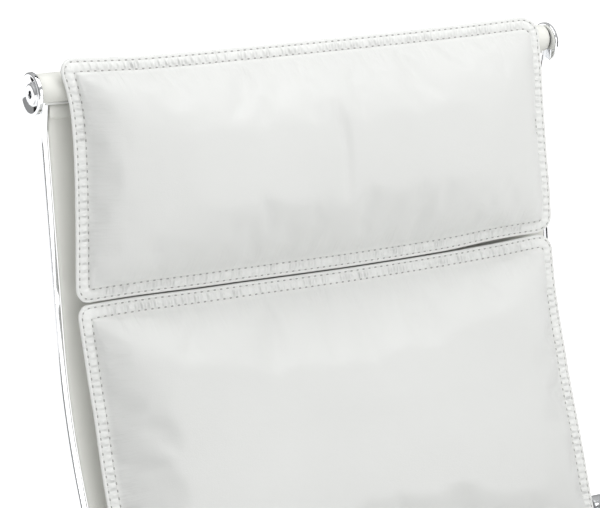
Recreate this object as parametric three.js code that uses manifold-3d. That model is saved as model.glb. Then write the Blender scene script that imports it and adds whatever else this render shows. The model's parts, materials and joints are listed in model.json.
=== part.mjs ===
// Drafting chair: a tall swivel chair with a high padded back, armrests and a foot ring.
// Millimetres, +Z up. The sitter faces -Y. The origin is on the floor, on the swivel axis.

import * as THREE from 'three';
import { mergeVertices } from 'three/addons/utils/BufferGeometryUtils.js';
import Module from 'manifold-3d';

const wasm = await Module();
wasm.setup();

// ---- driving dimensions -------------------------------------------------------------------

const GAP = 0.3;

// The seat and back follow one side profile. It starts at the top roll and ends at the front
// roll; each knot is [distance run, lean from vertical in degrees].
const PROFILE = [
  [0, 6.7], [200, 6.7], [320, 23], [470, 23], [580, 14], [640, 14], [760, 95], [1080, 92], [1170, 60],
];
const PROFILE_LENGTH = 1170;
const TOP_ROLL = { y: 362.5, z: 1277 };

const RAIL = { inner: 242, width: 6, front: -1, rear: 19, endRadius: 7.5, holeRadius: 5.2 };
const RAIL_OUTER = RAIL.inner + RAIL.width;
const SLING_HALF_THICKNESS = 0.9;

// The cross tubes sit a little beyond the end caps' axes, away from the sling.
const CROSS_TUBE = { outer: 10.3, inner: 8.5, beyond: 3.5 };
const ROLL_WRAP = { inner: CROSS_TUBE.outer + GAP, outer: 12.4 };
const END_CAP = {
  radius: 17.5, thickness: 7.5, boss: 7.5, bossLength: 3, spigot: 4.8, spigotLength: 20, socket: 2.6,
};

const PAD = { halfWidth: 235, flangeWidth: 13, flangeFront: 18.5, flangeRear: 15.5, rear: 2.6, crown: 43 };
const PADS = {
  head_pad: [-27, 168],
  upper_back_pad: [172, 457],
  lumbar_pad: [461, 700],
  seat_pad: [704, 1146],
};

const ARM = { inner: RAIL_OUTER + 4.5, width: 38, thickness: 9, rearAt: 424, frontAt: 985, bossRadius: 9 };
const ARM_TOP_RISE = 12;
const ARM_BEND = 60;
const ARM_PAD = { length: 230, wrap: 6, slack: 0.4, crown: 14, afterBend: 22 };

const SPREADER = { thickness: 11, depth: 30 };
const PLATE = { halfWidth: 85, front: -135, rear: 60, bottom: 545, thickness: 4 };
const PLATE_TOP = PLATE.bottom + PLATE.thickness;
const HOUSING = { halfWidth: 45, front: -138, rear: 42, bottom: 456, top: 512, rearTop: 497, wall: 3 };
const TILT_AXLE = { y: -75, z: 498, radius: 6, halfLength: 55 };
const BOLT = { y: -115, radius: 5, headRadius: 9, bottom: 399, headBottom: 551.5, headTop: 557.5 };
const KNOB = { radius: 26, bottom: 394, top: 418 };
const SPRING = { radius: 14, wire: 2.2, bottom: 420.6, top: 453.4, turns: 4.5 };
const LEVER = { z: 510.5, radius: 4, inner: 8, outer: -216, gripEnd: -272 };

const COLUMN = { radius: 25, bore: 23, bottom: 64, top: 436, floor: 4, taperTop: 130, taperRadius: 23.4 };
const CYLINDER = { radius: 14, bore: 11, bottom: 100, top: 500, taper: 12.9, plug: 478 };
const ROD = { radius: 5, bottom: 56, pistonBottom: 358, pistonTop: 374, pistonRadius: 10.5 };
const PIN = { radius: 3.4, bottom: 484, top: 506.2 };

const FOOT_RING = { radius: 225, tube: 10.5, z: 235, spokeRadius: 7.5, collarRadius: 35, collarHalf: 26 };

const BASE = {
  hubRadius: 38, hubBottom: 60, hubTop: 134, legReach: 331, tipRadius: 17, tipBottom: 62.6, tipTop: 93,
};
const CASTER = { wheel: 25, offset: 20, hood: 29, hoodHalf: 23, webHalf: 4.4, stem: 5.5, socket: 5.9 };
const CASTER_COUNT = 5;
const FINE = 18;
const COARSE = 12;

// ---- materials ----------------------------------------------------------------------------

const FINISHES = {
  leather: { color: 0xe6e6e3, roughness: 0.55, metalness: 0 },
  sling: { color: 0xc8c7c2, roughness: 0.65, metalness: 0 },
  chrome: { color: 0xd8dadc, roughness: 0.08, metalness: 1 },
  aluminium: { color: 0xc9cbcd, roughness: 0.18, metalness: 1 },
  steel: { color: 0x9a9c9e, roughness: 0.35, metalness: 1 },
  black_metal: { color: 0x1b1c1e, roughness: 0.5, metalness: 0.3 },
  black_plastic: { color: 0x151617, roughness: 0.55, metalness: 0 },
  tyre: { color: 0x2a2b2d, roughness: 0.7, metalness: 0 },
};

// ---- general shape helpers ----------------------------------------------------------------

const radians = (degrees) => degrees * Math.PI / 180;

function bare(geometry) {
  const plain = new THREE.BufferGeometry();
  plain.setAttribute('position', geometry.getAttribute('position').clone());
  if (geometry.index) plain.setIndex(geometry.index.clone());
  const merged = mergeVertices(plain, 1e-4);
  const corners = merged.index.array;
  const kept = [];
  for (let i = 0; i < corners.length; i += 3) {
    const [a, b, c] = corners.slice(i, i + 3);
    if (a !== b && b !== c && c !== a) kept.push(a, b, c);
  }
  merged.setIndex(kept);
  return merged;
}

function signedVolume(geometry) {
  const place = geometry.getAttribute('position');
  const [a, b, c] = [new THREE.Vector3(), new THREE.Vector3(), new THREE.Vector3()];
  let total = 0;
  for (let i = 0; i < geometry.index.count; i += 3) {
    a.fromBufferAttribute(place, geometry.index.getX(i));
    b.fromBufferAttribute(place, geometry.index.getX(i + 1));
    c.fromBufferAttribute(place, geometry.index.getX(i + 2));
    total += a.dot(b.cross(c)) / 6;
  }
  return total;
}

// A closed solid with its faces pointing out, ready to be joined, cut or shown.
function solid(geometry) {
  const merged = bare(geometry);
  if (signedVolume(merged) < 0) merged.index.array.reverse();
  return new wasm.Manifold(new wasm.Mesh({
    numProp: 3,
    vertProperties: new Float32Array(merged.getAttribute('position').array),
    triVerts: new Uint32Array(merged.index.array),
  }));
}

function shown(manifold) {
  const mesh = manifold.getMesh();
  const geometry = new THREE.BufferGeometry();
  geometry.setAttribute('position', new THREE.BufferAttribute(mesh.vertProperties, 3));
  geometry.setIndex(new THREE.BufferAttribute(mesh.triVerts, 1));
  geometry.computeVertexNormals();
  return geometry;
}

function piece(name, shape, finish) {
  const material = new THREE.MeshStandardMaterial(FINISHES[finish]);
  const mesh = new THREE.Mesh(shown(shape), material);
  mesh.name = name;
  return mesh;
}

// Turned solid about Z. The profile is a list of [radius, height] and is closed if it starts
// away from the axis.
function turned(profile, segments = FINE) {
  const points = profile.map(([r, z]) => new THREE.Vector2(r, z));
  if (profile[0][0] > 0) points.push(points[0].clone());
  const geometry = new THREE.LatheGeometry(points, segments);
  geometry.rotateX(Math.PI / 2);
  return geometry;
}

function ring(inner, outer, bottom, top, segments = FINE) {
  return turned([[inner, bottom], [outer, bottom], [outer, top], [inner, top]], segments);
}

function rod(radius, bottom, top, segments = COARSE) {
  return turned([[0, bottom], [radius, bottom], [radius, top], [0, top]], segments);
}

// Lays a geometry made along +Z down along +X.
function alongX(geometry) {
  return geometry.rotateY(Math.PI / 2);
}

function block(x, y, z) {
  const geometry = new THREE.BoxGeometry(x[1] - x[0], y[1] - y[0], z[1] - z[0]);
  return geometry.translate((x[0] + x[1]) / 2, (y[0] + y[1]) / 2, (z[0] + z[1]) / 2);
}

function outline(points) {
  return new THREE.Shape(points.map(([a, b]) => new THREE.Vector2(a, b)));
}

function extruded(shape, depth) {
  return new THREE.ExtrudeGeometry(shape, { depth, bevelEnabled: false, curveSegments: 8 });
}

// A side outline in (y, z), made solid from x = from to x = to.
function sideExtruded(shape, from, to) {
  const geometry = extruded(shape, to - from);
  geometry.applyMatrix4(new THREE.Matrix4().set(0, 0, 1, 0, 1, 0, 0, 0, 0, 1, 0, 0, 0, 0, 0, 1));
  return geometry.translate(from, 0, 0);
}

// A front outline in (x, z), made solid from y = from to y = to.
function frontExtruded(shape, from, to) {
  const geometry = extruded(shape, to - from);
  geometry.applyMatrix4(new THREE.Matrix4().set(1, 0, 0, 0, 0, 0, 1, 0, 0, 1, 0, 0, 0, 0, 0, 1));
  return geometry.translate(0, from, 0);
}

// ---- the side profile ---------------------------------------------------------------------

// Point and lean (radians) at a distance run down from the top roll.
function profileAt(run) {
  let { y, z } = TOP_ROLL;
  let lean = radians(PROFILE[0][1]);
  for (let i = 0; i + 1 < PROFILE.length; i += 1) {
    const [start, leanStart] = PROFILE[i];
    const [end, leanEnd] = PROFILE[i + 1];
    if (i > 0 && run <= start) break;
    const reach = Math.min(run, end) - start;
    const turn = radians(leanEnd - leanStart) * reach / (end - start);
    const middle = radians(leanStart) + turn / 2;
    const chord = Math.abs(turn) < 1e-9 ? reach : reach * Math.sin(turn / 2) / (turn / 2);
    y -= chord * Math.sin(middle);
    z -= chord * Math.cos(middle);
    lean = radians(leanStart) + turn;
  }
  return { y, z, lean };
}

// The same point moved off the profile towards the sitter.
function offProfile(run, offset) {
  const { y, z, lean } = profileAt(run);
  return [y - offset * Math.cos(lean), z + offset * Math.sin(lean)];
}

// Distances run between two ends, close together only where the profile bends.
function stations(from, to, bend = 8) {
  const runs = [from];
  for (let i = 0; i + 1 < PROFILE.length; i += 1) {
    const [start, leanStart] = PROFILE[i];
    const [end, leanEnd] = PROFILE[i + 1];
    const steps = Math.max(1, Math.ceil(Math.abs(leanEnd - leanStart) / bend));
    for (let k = 1; k <= steps; k += 1) {
      const run = start + (end - start) * k / steps;
      if (run > from + 4 && run < to - 4) runs.push(run);
    }
  }
  runs.push(to);
  return runs;
}

function circlePoints(centre, radius, fromAngle, toAngle, steps) {
  return Array.from({ length: steps + 1 }, (_, k) => {
    const angle = fromAngle + (toAngle - fromAngle) * k / steps;
    return [centre.y + radius * Math.cos(angle), centre.z + radius * Math.sin(angle)];
  });
}

// ---- seat and back frame ------------------------------------------------------------------

function roundHole(centre, radius) {
  const hole = new THREE.Path();
  hole.absarc(centre.y, centre.z, radius, 0, 2 * Math.PI, true);
  return hole;
}

// One flat bar bent to the profile, with a round eye at each end for the cross tubes.
function railShape() {
  const top = profileAt(0);
  const front = profileAt(PROFILE_LENGTH);
  const runs = stations(34, PROFILE_LENGTH - 34);
  const frontEdge = runs.map((run) => offProfile(run, RAIL.front));
  const rearEdge = runs.map((run) => offProfile(run, -RAIL.rear)).reverse();
  // Around each eye, from its rear side over the end to its front side.
  const rearTop = -top.lean;
  const eyeTop = circlePoints(top, RAIL.endRadius, rearTop, rearTop + Math.PI, 8);
  const frontSide = Math.PI - front.lean;
  const eyeFront = circlePoints(front, RAIL.endRadius, frontSide, frontSide + Math.PI, 8);
  const shape = outline([...eyeTop, ...frontEdge, ...eyeFront, ...rearEdge]);
  shape.holes.push(roundHole(top, RAIL.holeRadius), roundHole(front, RAIL.holeRadius));
  return shape;
}

function rails() {
  const shape = railShape();
  return [
    piece('rail_left', solid(sideExtruded(shape, RAIL.inner, RAIL_OUTER)), 'chrome'),
    piece('rail_right', solid(sideExtruded(shape, -RAIL_OUTER, -RAIL.inner)), 'chrome'),
  ];
}

// Lays a geometry along X at the roll beyond one end of the profile: run 0 or its full length.
function atRoll(geometry, run) {
  const { y, z, lean } = profileAt(run);
  const beyond = run === 0 ? CROSS_TUBE.beyond : -CROSS_TUBE.beyond;
  return alongX(geometry).translate(0, y + beyond * Math.sin(lean), z + beyond * Math.cos(lean));
}

function crossTubes() {
  const half = RAIL.inner - GAP;
  const tube = () => ring(CROSS_TUBE.inner, CROSS_TUBE.outer, -half, half);
  return [
    piece('top_cross_tube', solid(atRoll(tube(), 0)), 'steel'),
    piece('front_cross_tube', solid(atRoll(tube(), PROFILE_LENGTH)), 'steel'),
  ];
}

// Round cap with a dished face, a key socket and a spigot that enters the cross tube.
function endCapShape() {
  const { radius, thickness, boss, bossLength, spigot, spigotLength, socket } = END_CAP;
  return turned([
    [0, -spigotLength], [spigot, -spigotLength], [spigot, 0], [boss, 0], [boss, bossLength],
    [radius, bossLength], [radius, thickness - 2],
    [radius - 2, thickness], [radius - 5, thickness], [radius - 7, thickness - 1.5],
    [socket, thickness - 1.5], [socket, thickness - 6], [0, thickness - 6],
  ], COARSE);
}

function endCaps() {
  const rolls = { top: profileAt(0), front: profileAt(PROFILE_LENGTH) };
  const sides = { left: 1, right: -1 };
  return Object.entries(rolls).flatMap(([rollName, roll]) => Object.entries(sides).map(([side, sign]) => {
    const cap = piece(`${rollName}_end_cap_${side}`, solid(endCapShape()), 'chrome');
    cap.rotation.y = sign * Math.PI / 2;
    cap.position.set(sign * (RAIL_OUTER + GAP), roll.y, roll.z);
    return cap;
  }));
}

// One sheet from roll to roll, closed round each cross tube.
function sling() {
  const half = RAIL.inner - GAP;
  const start = (ROLL_WRAP.inner + ROLL_WRAP.outer) / 2 - CROSS_TUBE.beyond;
  const runs = stations(start, PROFILE_LENGTH - start);
  const frontEdge = runs.map((run) => offProfile(run, SLING_HALF_THICKNESS));
  const rearEdge = runs.map((run) => offProfile(run, -SLING_HALF_THICKNESS)).reverse();
  const sheet = solid(sideExtruded(outline([...frontEdge, ...rearEdge]), -half, half));
  const wrap = () => ring(ROLL_WRAP.inner, ROLL_WRAP.outer, -half, half);
  const topWrap = solid(atRoll(wrap(), 0));
  const frontWrap = solid(atRoll(wrap(), PROFILE_LENGTH));
  return piece('sling', sheet.add(topWrap).add(frontWrap), 'sling');
}

// How full a pad is at a distance in from its edge: 0 on the flat flange, 1 well inside.
function fullness(fromEdge) {
  const inside = (fromEdge - PAD.flangeWidth) / 130;
  return inside <= 0 ? 0 : Math.min(1, inside) ** 0.4;
}

// How far a pad's rear must stay off the profile to clear the roll at either end of the sling.
function rollClearance(run) {
  const toRoll = Math.min(Math.abs(run), PROFILE_LENGTH - run);
  return toRoll < 22 ? ROLL_WRAP.outer + 1.2 : 0;
}

// A crowned pad with a flat sewn flange all round, bent along the profile.
function padShape(from, to) {
  const insets = [0, PAD.flangeWidth, 40, 100];
  const half = insets.map((inset) => inset - PAD.halfWidth);
  const across = [...half, 0, ...half.map((x) => -x).reverse()];
  const nearEnds = insets.slice(0, 3);
  const ends = [...nearEnds.map((inset) => from + inset), ...nearEnds.map((inset) => to - inset)];
  const inner = stations(from + 40, to - 40, 10).slice(1, -1);
  const along = [...new Set([...ends, ...inner, (from + to) / 2])].sort((a, b) => a - b);
  const places = [];
  for (const side of [1, -1]) {
    for (const run of along) {
      for (const x of across) {
        const full = fullness(PAD.halfWidth - Math.abs(x)) * fullness(Math.min(run - from, to - run));
        const front = PAD.flangeFront + (PAD.crown - PAD.flangeFront) * full;
        const rear = PAD.flangeRear + (PAD.rear - PAD.flangeRear) * Math.min(1, full * 1.6);
        const offset = side > 0 ? front : Math.max(rear, rollClearance(run));
        places.push(x, ...offProfile(run, offset));
      }
    }
  }
  return gridSolid(places, across.length, along.length);
}

// Closes two facing grids of points, front then rear, into one skin.
function gridSolid(places, columns, rows) {
  const index = [];
  const at = (layer, row, column) => (layer * rows + row) * columns + column;
  const quad = (a, b, c, d) => index.push(a, b, c, a, c, d);
  for (let r = 0; r + 1 < rows; r += 1) {
    for (let c = 0; c + 1 < columns; c += 1) {
      quad(at(0, r, c), at(0, r + 1, c), at(0, r + 1, c + 1), at(0, r, c + 1));
      quad(at(1, r, c), at(1, r, c + 1), at(1, r + 1, c + 1), at(1, r + 1, c));
    }
    quad(at(0, r, 0), at(1, r, 0), at(1, r + 1, 0), at(0, r + 1, 0));
    const last = columns - 1;
    quad(at(0, r, last), at(0, r + 1, last), at(1, r + 1, last), at(1, r, last));
  }
  for (let c = 0; c + 1 < columns; c += 1) {
    quad(at(0, 0, c), at(0, 0, c + 1), at(1, 0, c + 1), at(1, 0, c));
    const last = rows - 1;
    quad(at(0, last, c), at(1, last, c), at(1, last, c + 1), at(0, last, c + 1));
  }
  const geometry = new THREE.BufferGeometry();
  geometry.setAttribute('position', new THREE.Float32BufferAttribute(places, 3));
  geometry.setIndex(index);
  return geometry;
}

function pads() {
  const ranges = Object.entries(PADS);
  return ranges.map(([name, [from, to]]) => piece(name, solid(padShape(from, to)), 'leather'));
}

// A bar behind the back that holds the rails apart, bowed away from the sling.
function backSpreader() {
  const half = RAIL.inner - GAP;
  const bow = 24;
  const near = 4;
  const edge = (extra) => Array.from({ length: 9 }, (_, k) => {
    const t = k / 4 - 1;
    return [t * half, -(near + extra + bow * (1 - t ** 4))];
  });
  const geometry = extruded(outline([...edge(0), ...edge(SPREADER.thickness).reverse()]), SPREADER.depth);
  const { y, z, lean } = profileAt(ARM.rearAt);
  geometry.translate(0, 0, -SPREADER.depth / 2);
  // The outline's second axis points to the sitter and its depth runs up the back.
  const toSitter = new THREE.Vector3(0, -Math.cos(lean), Math.sin(lean));
  const up = new THREE.Vector3(0, Math.sin(lean), Math.cos(lean));
  const turn = new THREE.Matrix4().makeBasis(new THREE.Vector3(-1, 0, 0), toSitter, up);
  geometry.applyMatrix4(turn).translate(0, y, z);
  return piece('back_spreader', solid(geometry), 'aluminium');
}

// A bar under the seat: flat on the tilt plate, then rising to the rails.
function seatSpreader(name, run) {
  const { y, z, lean } = profileAt(run);
  const half = RAIL.inner - GAP;
  const foot = 72;
  const low = PLATE_TOP + GAP;
  const high = z - 5 * Math.sin(lean) - SPREADER.thickness;
  const rise = (x) => {
    const t = Math.min(1, Math.max(0, (Math.abs(x) - foot) / (half - 20 - foot)));
    return low + (high - low) * t * t * (3 - 2 * t);
  };
  const slope = [-half, -half + 20];
  for (const t of [0.75, 0.5, 0.25, 0]) slope.push(-foot - (half - 20 - foot) * t);
  const xs = [...slope, ...slope.map((x) => -x).reverse()];
  const lower = xs.map((x) => [x, rise(x)]);
  const upper = xs.map((x) => [x, rise(x) + SPREADER.thickness]).reverse();
  const bar = frontExtruded(outline([...lower, ...upper]), 0, SPREADER.depth);
  return piece(name, solid(bar.translate(0, y - SPREADER.depth / 2, 0)), 'aluminium');
}

// ---- armrests -----------------------------------------------------------------------------

// Centre line of the arm bar in (y, z): up from the seat rail, round the bend and back to the
// back rail. The straight top is returned too, for the arm pad.
function armRoute() {
  const [rearY, rearZ] = offProfile(ARM.rearAt, -8);
  const [frontY, frontZ] = offProfile(ARM.frontAt, -8);
  const rear = new THREE.Vector2(rearY, rearZ);
  const foot = new THREE.Vector2(frontY, frontZ);
  const corner = new THREE.Vector2(frontY - 36, rearZ + ARM_TOP_RISE);
  const back = rear.clone().sub(corner).normalize();
  const down = foot.clone().sub(corner).normalize();
  const bendStart = corner.clone().addScaledVector(down, ARM_BEND);
  const bendEnd = corner.clone().addScaledVector(back, ARM_BEND);
  const bend = new THREE.QuadraticBezierCurve(bendStart, corner, bendEnd).getPoints(8);
  return { points: [foot, ...bend, rear], bendEnd, rear };
}

// The outline of a bar of even thickness about a bent line.
function barOutline(points, thickness) {
  const sides = points.map((point, i) => {
    const before = points[Math.max(0, i - 1)];
    const after = points[Math.min(points.length - 1, i + 1)];
    const along = after.clone().sub(before).normalize();
    return new THREE.Vector2(-along.y, along.x).multiplyScalar(thickness / 2);
  });
  const one = points.map((point, i) => point.clone().add(sides[i]));
  const other = points.map((point, i) => point.clone().sub(sides[i])).reverse();
  return new THREE.Shape([...one, ...other]);
}

function armShape(route) {
  const outer = ARM.inner + ARM.width;
  const bar = solid(sideExtruded(barOutline(route.points, ARM.thickness), ARM.inner, outer));
  const ends = [route.points[0], route.rear];
  return ends.reduce((whole, end) => {
    const boss = alongX(rod(ARM.bossRadius, RAIL_OUTER + GAP, ARM.inner + 12)).translate(0, end.x, end.y);
    return whole.add(solid(boss));
  }, bar);
}

// A padded sleeve closed round the straight top of the arm bar.
function armPadShape(route) {
  const along = route.rear.clone().sub(route.bendEnd);
  const toMiddle = ARM_PAD.length / 2 + ARM_PAD.afterBend;
  const middle = route.bendEnd.clone().addScaledVector(along.clone().normalize(), toMiddle);
  const halfBar = ARM.width / 2 + ARM_PAD.slack;
  const halfDepth = ARM.thickness / 2 + ARM_PAD.slack;
  const wide = halfBar + ARM_PAD.wrap;
  const low = -halfDepth - ARM_PAD.wrap + 2;
  const top = halfDepth + ARM_PAD.crown;
  const shape = outline([
    [-wide + 5, low], [wide - 5, low], [wide, low + 5], [wide, top - 8],
    [wide - 8, top - 2], [0, top], [8 - wide, top - 2], [-wide, top - 8], [-wide, low + 5],
  ]);
  const inside = new THREE.Path();
  inside.moveTo(-halfBar, -halfDepth);
  inside.lineTo(-halfBar, halfDepth);
  inside.lineTo(halfBar, halfDepth);
  inside.lineTo(halfBar, -halfDepth);
  shape.holes.push(inside);
  const geometry = extruded(shape, ARM_PAD.length).translate(0, 0, -ARM_PAD.length / 2);
  const ahead = new THREE.Vector3(0, -along.x, -along.y).normalize();
  const side = new THREE.Vector3(1, 0, 0);
  const up = new THREE.Vector3().crossVectors(side, ahead).negate();
  geometry.applyMatrix4(new THREE.Matrix4().makeBasis(side, up, ahead));
  return geometry.translate(ARM.inner + ARM.width / 2, middle.x, middle.y);
}

function mirrored(shape) {
  return shape.scale([-1, 1, 1]);
}

function arms() {
  const route = armRoute();
  const arm = armShape(route);
  const pad = solid(armPadShape(route));
  return [
    piece('arm_left', arm, 'aluminium'),
    piece('arm_right', mirrored(arm), 'aluminium'),
    piece('arm_pad_left', pad, 'leather'),
    piece('arm_pad_right', mirrored(pad), 'leather'),
  ];
}

// ---- tilt mechanism -----------------------------------------------------------------------

function axleHole(radius, from, to) {
  return solid(alongX(rod(radius, from, to)).translate(0, TILT_AXLE.y, TILT_AXLE.z));
}

// The plate under the seat, with an ear each side of the housing that turns on the axle.
function tiltPlate() {
  const { halfWidth, front, rear, bottom } = PLATE;
  const earInner = HOUSING.halfWidth + 1;
  const { y, z } = TILT_AXLE;
  const ear = outline([
    [y - 32, bottom + 1], [y - 13, z - 6], [y - 6, z - 13],
    [y + 6, z - 13], [y + 13, z - 6], [y + 32, bottom + 1],
  ]);
  let plate = solid(block([-halfWidth, halfWidth], [front, rear], [bottom, PLATE_TOP]));
  for (const from of [earInner, -earInner - 4]) plate = plate.add(solid(sideExtruded(ear, from, from + 4)));
  const slot = solid(block([-8, 8], [BOLT.y - 20, BOLT.y + 8], [bottom - 5, PLATE_TOP + 5]));
  const reach = HOUSING.halfWidth + 10;
  const hole = axleHole(TILT_AXLE.radius + 0.5, -reach, reach);
  return piece('tilt_plate', plate.subtract(slot).subtract(hole), 'black_metal');
}

// An open tray with the socket for the gas cylinder's taper.
function tiltHousing() {
  const { halfWidth, front, rear, bottom, top, rearTop, wall } = HOUSING;
  const side = outline([
    [front, bottom + 12], [front + 14, bottom], [rear, bottom], [rear, rearTop], [-30, top], [front, top],
  ]);
  const tray = solid(sideExtruded(side, -halfWidth, halfWidth));
  const inner = halfWidth - wall;
  const inside = solid(block([-inner, inner], [front + 16, rear - wall], [bottom + wall, top + 20]));
  const socket = solid(rod(21, bottom + 1, CYLINDER.plug + 16));
  const bore = solid(turned([
    [0, bottom - 5], [CYLINDER.radius + 0.4, bottom - 5],
    [CYLINDER.taper + 0.5, CYLINDER.top], [0, CYLINDER.top],
  ]));
  const leverNotch = solid(block([-halfWidth - 5, 0], [-6, 6], [LEVER.z - 6.5, top + 20]));
  const boltHole = solid(rod(BOLT.radius + 1.5, bottom - 5, bottom + 30).translate(0, BOLT.y, 0));
  const reach = halfWidth + 10;
  const cuts = [bore, leverNotch, boltHole, axleHole(TILT_AXLE.radius + GAP, -reach, reach)];
  const shape = cuts.reduce((whole, cut) => whole.subtract(cut), tray.subtract(inside).add(socket));
  return piece('tilt_housing', shape, 'black_metal');
}

function tiltAxle() {
  const { radius, halfLength } = TILT_AXLE;
  return piece('tilt_axle', axleHole(radius, -halfLength, halfLength), 'steel');
}

class Helix extends THREE.Curve {
  getPoint(t) {
    const angle = 2 * Math.PI * SPRING.turns * t;
    const z = SPRING.bottom + (SPRING.top - SPRING.bottom) * t;
    return new THREE.Vector3(SPRING.radius * Math.cos(angle), SPRING.radius * Math.sin(angle), z);
  }
}

function tiltSpring() {
  const wire = outline(Array.from({ length: 6 }, (_, k) => {
    const angle = k * Math.PI / 3;
    return [SPRING.wire * Math.cos(angle), SPRING.wire * Math.sin(angle)];
  }));
  const steps = Math.round(SPRING.turns * 10);
  const coil = new THREE.ExtrudeGeometry(wire, { steps, bevelEnabled: false, extrudePath: new Helix() });
  return piece('tilt_spring', solid(coil.translate(0, BOLT.y, 0)), 'steel');
}

// The bolt that the plate lifts as it tilts; its knob squeezes the spring from below.
function tensionBolt() {
  const { y, radius, headRadius, bottom, headBottom, headTop } = BOLT;
  const shape = turned([
    [0, bottom], [radius, bottom], [radius, headBottom],
    [headRadius, headBottom], [headRadius, headTop], [0, headTop],
  ], COARSE);
  return piece('tension_bolt', solid(shape.translate(0, y, 0)), 'steel');
}

function tensionKnob() {
  const { radius, bottom, top } = KNOB;
  const shape = turned([
    [0, bottom], [radius - 4, bottom], [radius, bottom + 4], [radius, top - 3], [radius - 3, top],
    [BOLT.radius + 0.5, top], [BOLT.radius + 0.5, BOLT.bottom - GAP], [0, BOLT.bottom - GAP],
  ]);
  return piece('tension_knob', solid(shape.translate(0, BOLT.y, 0)), 'black_plastic');
}

function lever() {
  const { z, radius, inner, outer, gripEnd } = LEVER;
  const bar = alongX(rod(radius, outer, inner, 10)).translate(0, 0, z);
  const bore = alongX(rod(radius + 0.4, outer - GAP, outer + 40, 10)).translate(0, 0, z);
  const grip = turned([
    [0, gripEnd], [6, gripEnd], [9, gripEnd + 6], [9, outer + 14], [6.5, outer + 20], [0, outer + 20],
  ], COARSE);
  const paddle = alongX(grip).scale(1, 1.6, 0.85).translate(0, 0, z);
  return [
    piece('height_lever', solid(bar), 'chrome'),
    piece('height_lever_grip', solid(paddle).subtract(solid(bore)), 'black_plastic'),
  ];
}

// ---- gas column ---------------------------------------------------------------------------

const THRUST_TOP = COLUMN.bottom + COLUMN.floor + 8;

function columnTube() {
  const { radius, bore, bottom, top, floor, taperTop, taperRadius } = COLUMN;
  return turned([
    [6, bottom], [taperRadius, bottom], [radius, taperTop], [radius, top],
    [bore, top], [bore, taperTop + 10], [bore - 1.4, bottom + floor], [6, bottom + floor],
  ]);
}

function guideBush() {
  const { radius, bore, top } = COLUMN;
  const inner = CYLINDER.radius + 0.5;
  return turned([
    [inner, top - 84], [bore - GAP, top - 84], [bore - GAP, top + GAP],
    [radius, top + GAP], [radius, top + 4], [inner, top + 4],
  ]);
}

function pressureTube() {
  const { radius, bore, bottom, top, taper, plug } = CYLINDER;
  return turned([
    [5.5, bottom], [radius, bottom], [radius, HOUSING.bottom - 4], [taper, top], [4, top], [4, plug],
    [bore, plug], [bore, bottom + 12], [5.5, bottom + 12],
  ]);
}

function pistonRod() {
  const { radius, bottom, pistonBottom, pistonTop, pistonRadius } = ROD;
  return turned([
    [0, bottom], [radius, bottom], [radius, THRUST_TOP], [8, THRUST_TOP], [8, THRUST_TOP + 6],
    [radius, THRUST_TOP + 6], [radius, pistonBottom], [pistonRadius, pistonBottom],
    [pistonRadius, pistonTop], [0, pistonTop],
  ], COARSE);
}

function columnPieces() {
  const { bottom, floor } = COLUMN;
  const bearing = ring(5.6, 13, bottom + floor + GAP, THRUST_TOP - GAP);
  const clip = ring(5.3, 9, bottom - 2.2, bottom - GAP, COARSE);
  return [
    piece('column_tube', solid(columnTube()), 'chrome'),
    piece('guide_bush', solid(guideBush()), 'black_plastic'),
    piece('pressure_tube', solid(pressureTube()), 'black_metal'),
    piece('piston_rod', solid(pistonRod()), 'steel'),
    piece('thrust_bearing', solid(bearing), 'steel'),
    piece('retaining_clip', solid(clip), 'steel'),
    piece('release_pin', solid(rod(PIN.radius, PIN.bottom, PIN.top)), 'steel'),
  ];
}

// ---- foot ring ----------------------------------------------------------------------------

// The clamp knob sits between two spokes.
const CLAMP_ANGLE = radians(225);

function footRing() {
  const { radius, tube, z, spokeRadius, collarRadius, collarHalf } = FOOT_RING;
  const bore = COLUMN.radius + 3.2;
  let shape = solid(new THREE.TorusGeometry(radius, tube, 8, 30));
  for (const turn of [0, 1, 2, 3]) {
    const spoke = alongX(rod(spokeRadius, bore + 4, radius, 8)).rotateZ(turn * Math.PI / 2);
    shape = shape.add(solid(spoke));
  }
  const boss = alongX(rod(9, bore + 4, collarRadius + 8, 10)).rotateZ(CLAMP_ANGLE);
  const screwHole = alongX(rod(4.6, COLUMN.radius - 2, collarRadius + 12, 10)).rotateZ(CLAMP_ANGLE);
  shape = shape.add(solid(ring(bore, collarRadius, -collarHalf, collarHalf))).add(solid(boss));
  shape = shape.subtract(solid(screwHole)).translate([0, 0, z]);
  const hole = solid(screwHole.clone());
  const lining = ring(COLUMN.radius + 0.5, bore - GAP, -collarHalf - 2, collarHalf + 2);
  const sleeve = solid(lining).subtract(hole);
  const knob = solid(alongX(turned([
    [0, COLUMN.radius + 1], [4, COLUMN.radius + 1], [4, collarRadius + 11], [9, collarRadius + 11],
    [19, collarRadius + 17], [19, collarRadius + 25], [15, collarRadius + 29], [0, collarRadius + 29],
  ], COARSE)).rotateZ(CLAMP_ANGLE));
  return [
    piece('foot_ring', shape, 'chrome'),
    piece('foot_ring_sleeve', sleeve.translate([0, 0, z]), 'black_plastic'),
    piece('foot_ring_knob', knob.translate([0, 0, z]), 'black_plastic'),
  ];
}

// ---- base and casters ---------------------------------------------------------------------

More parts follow.
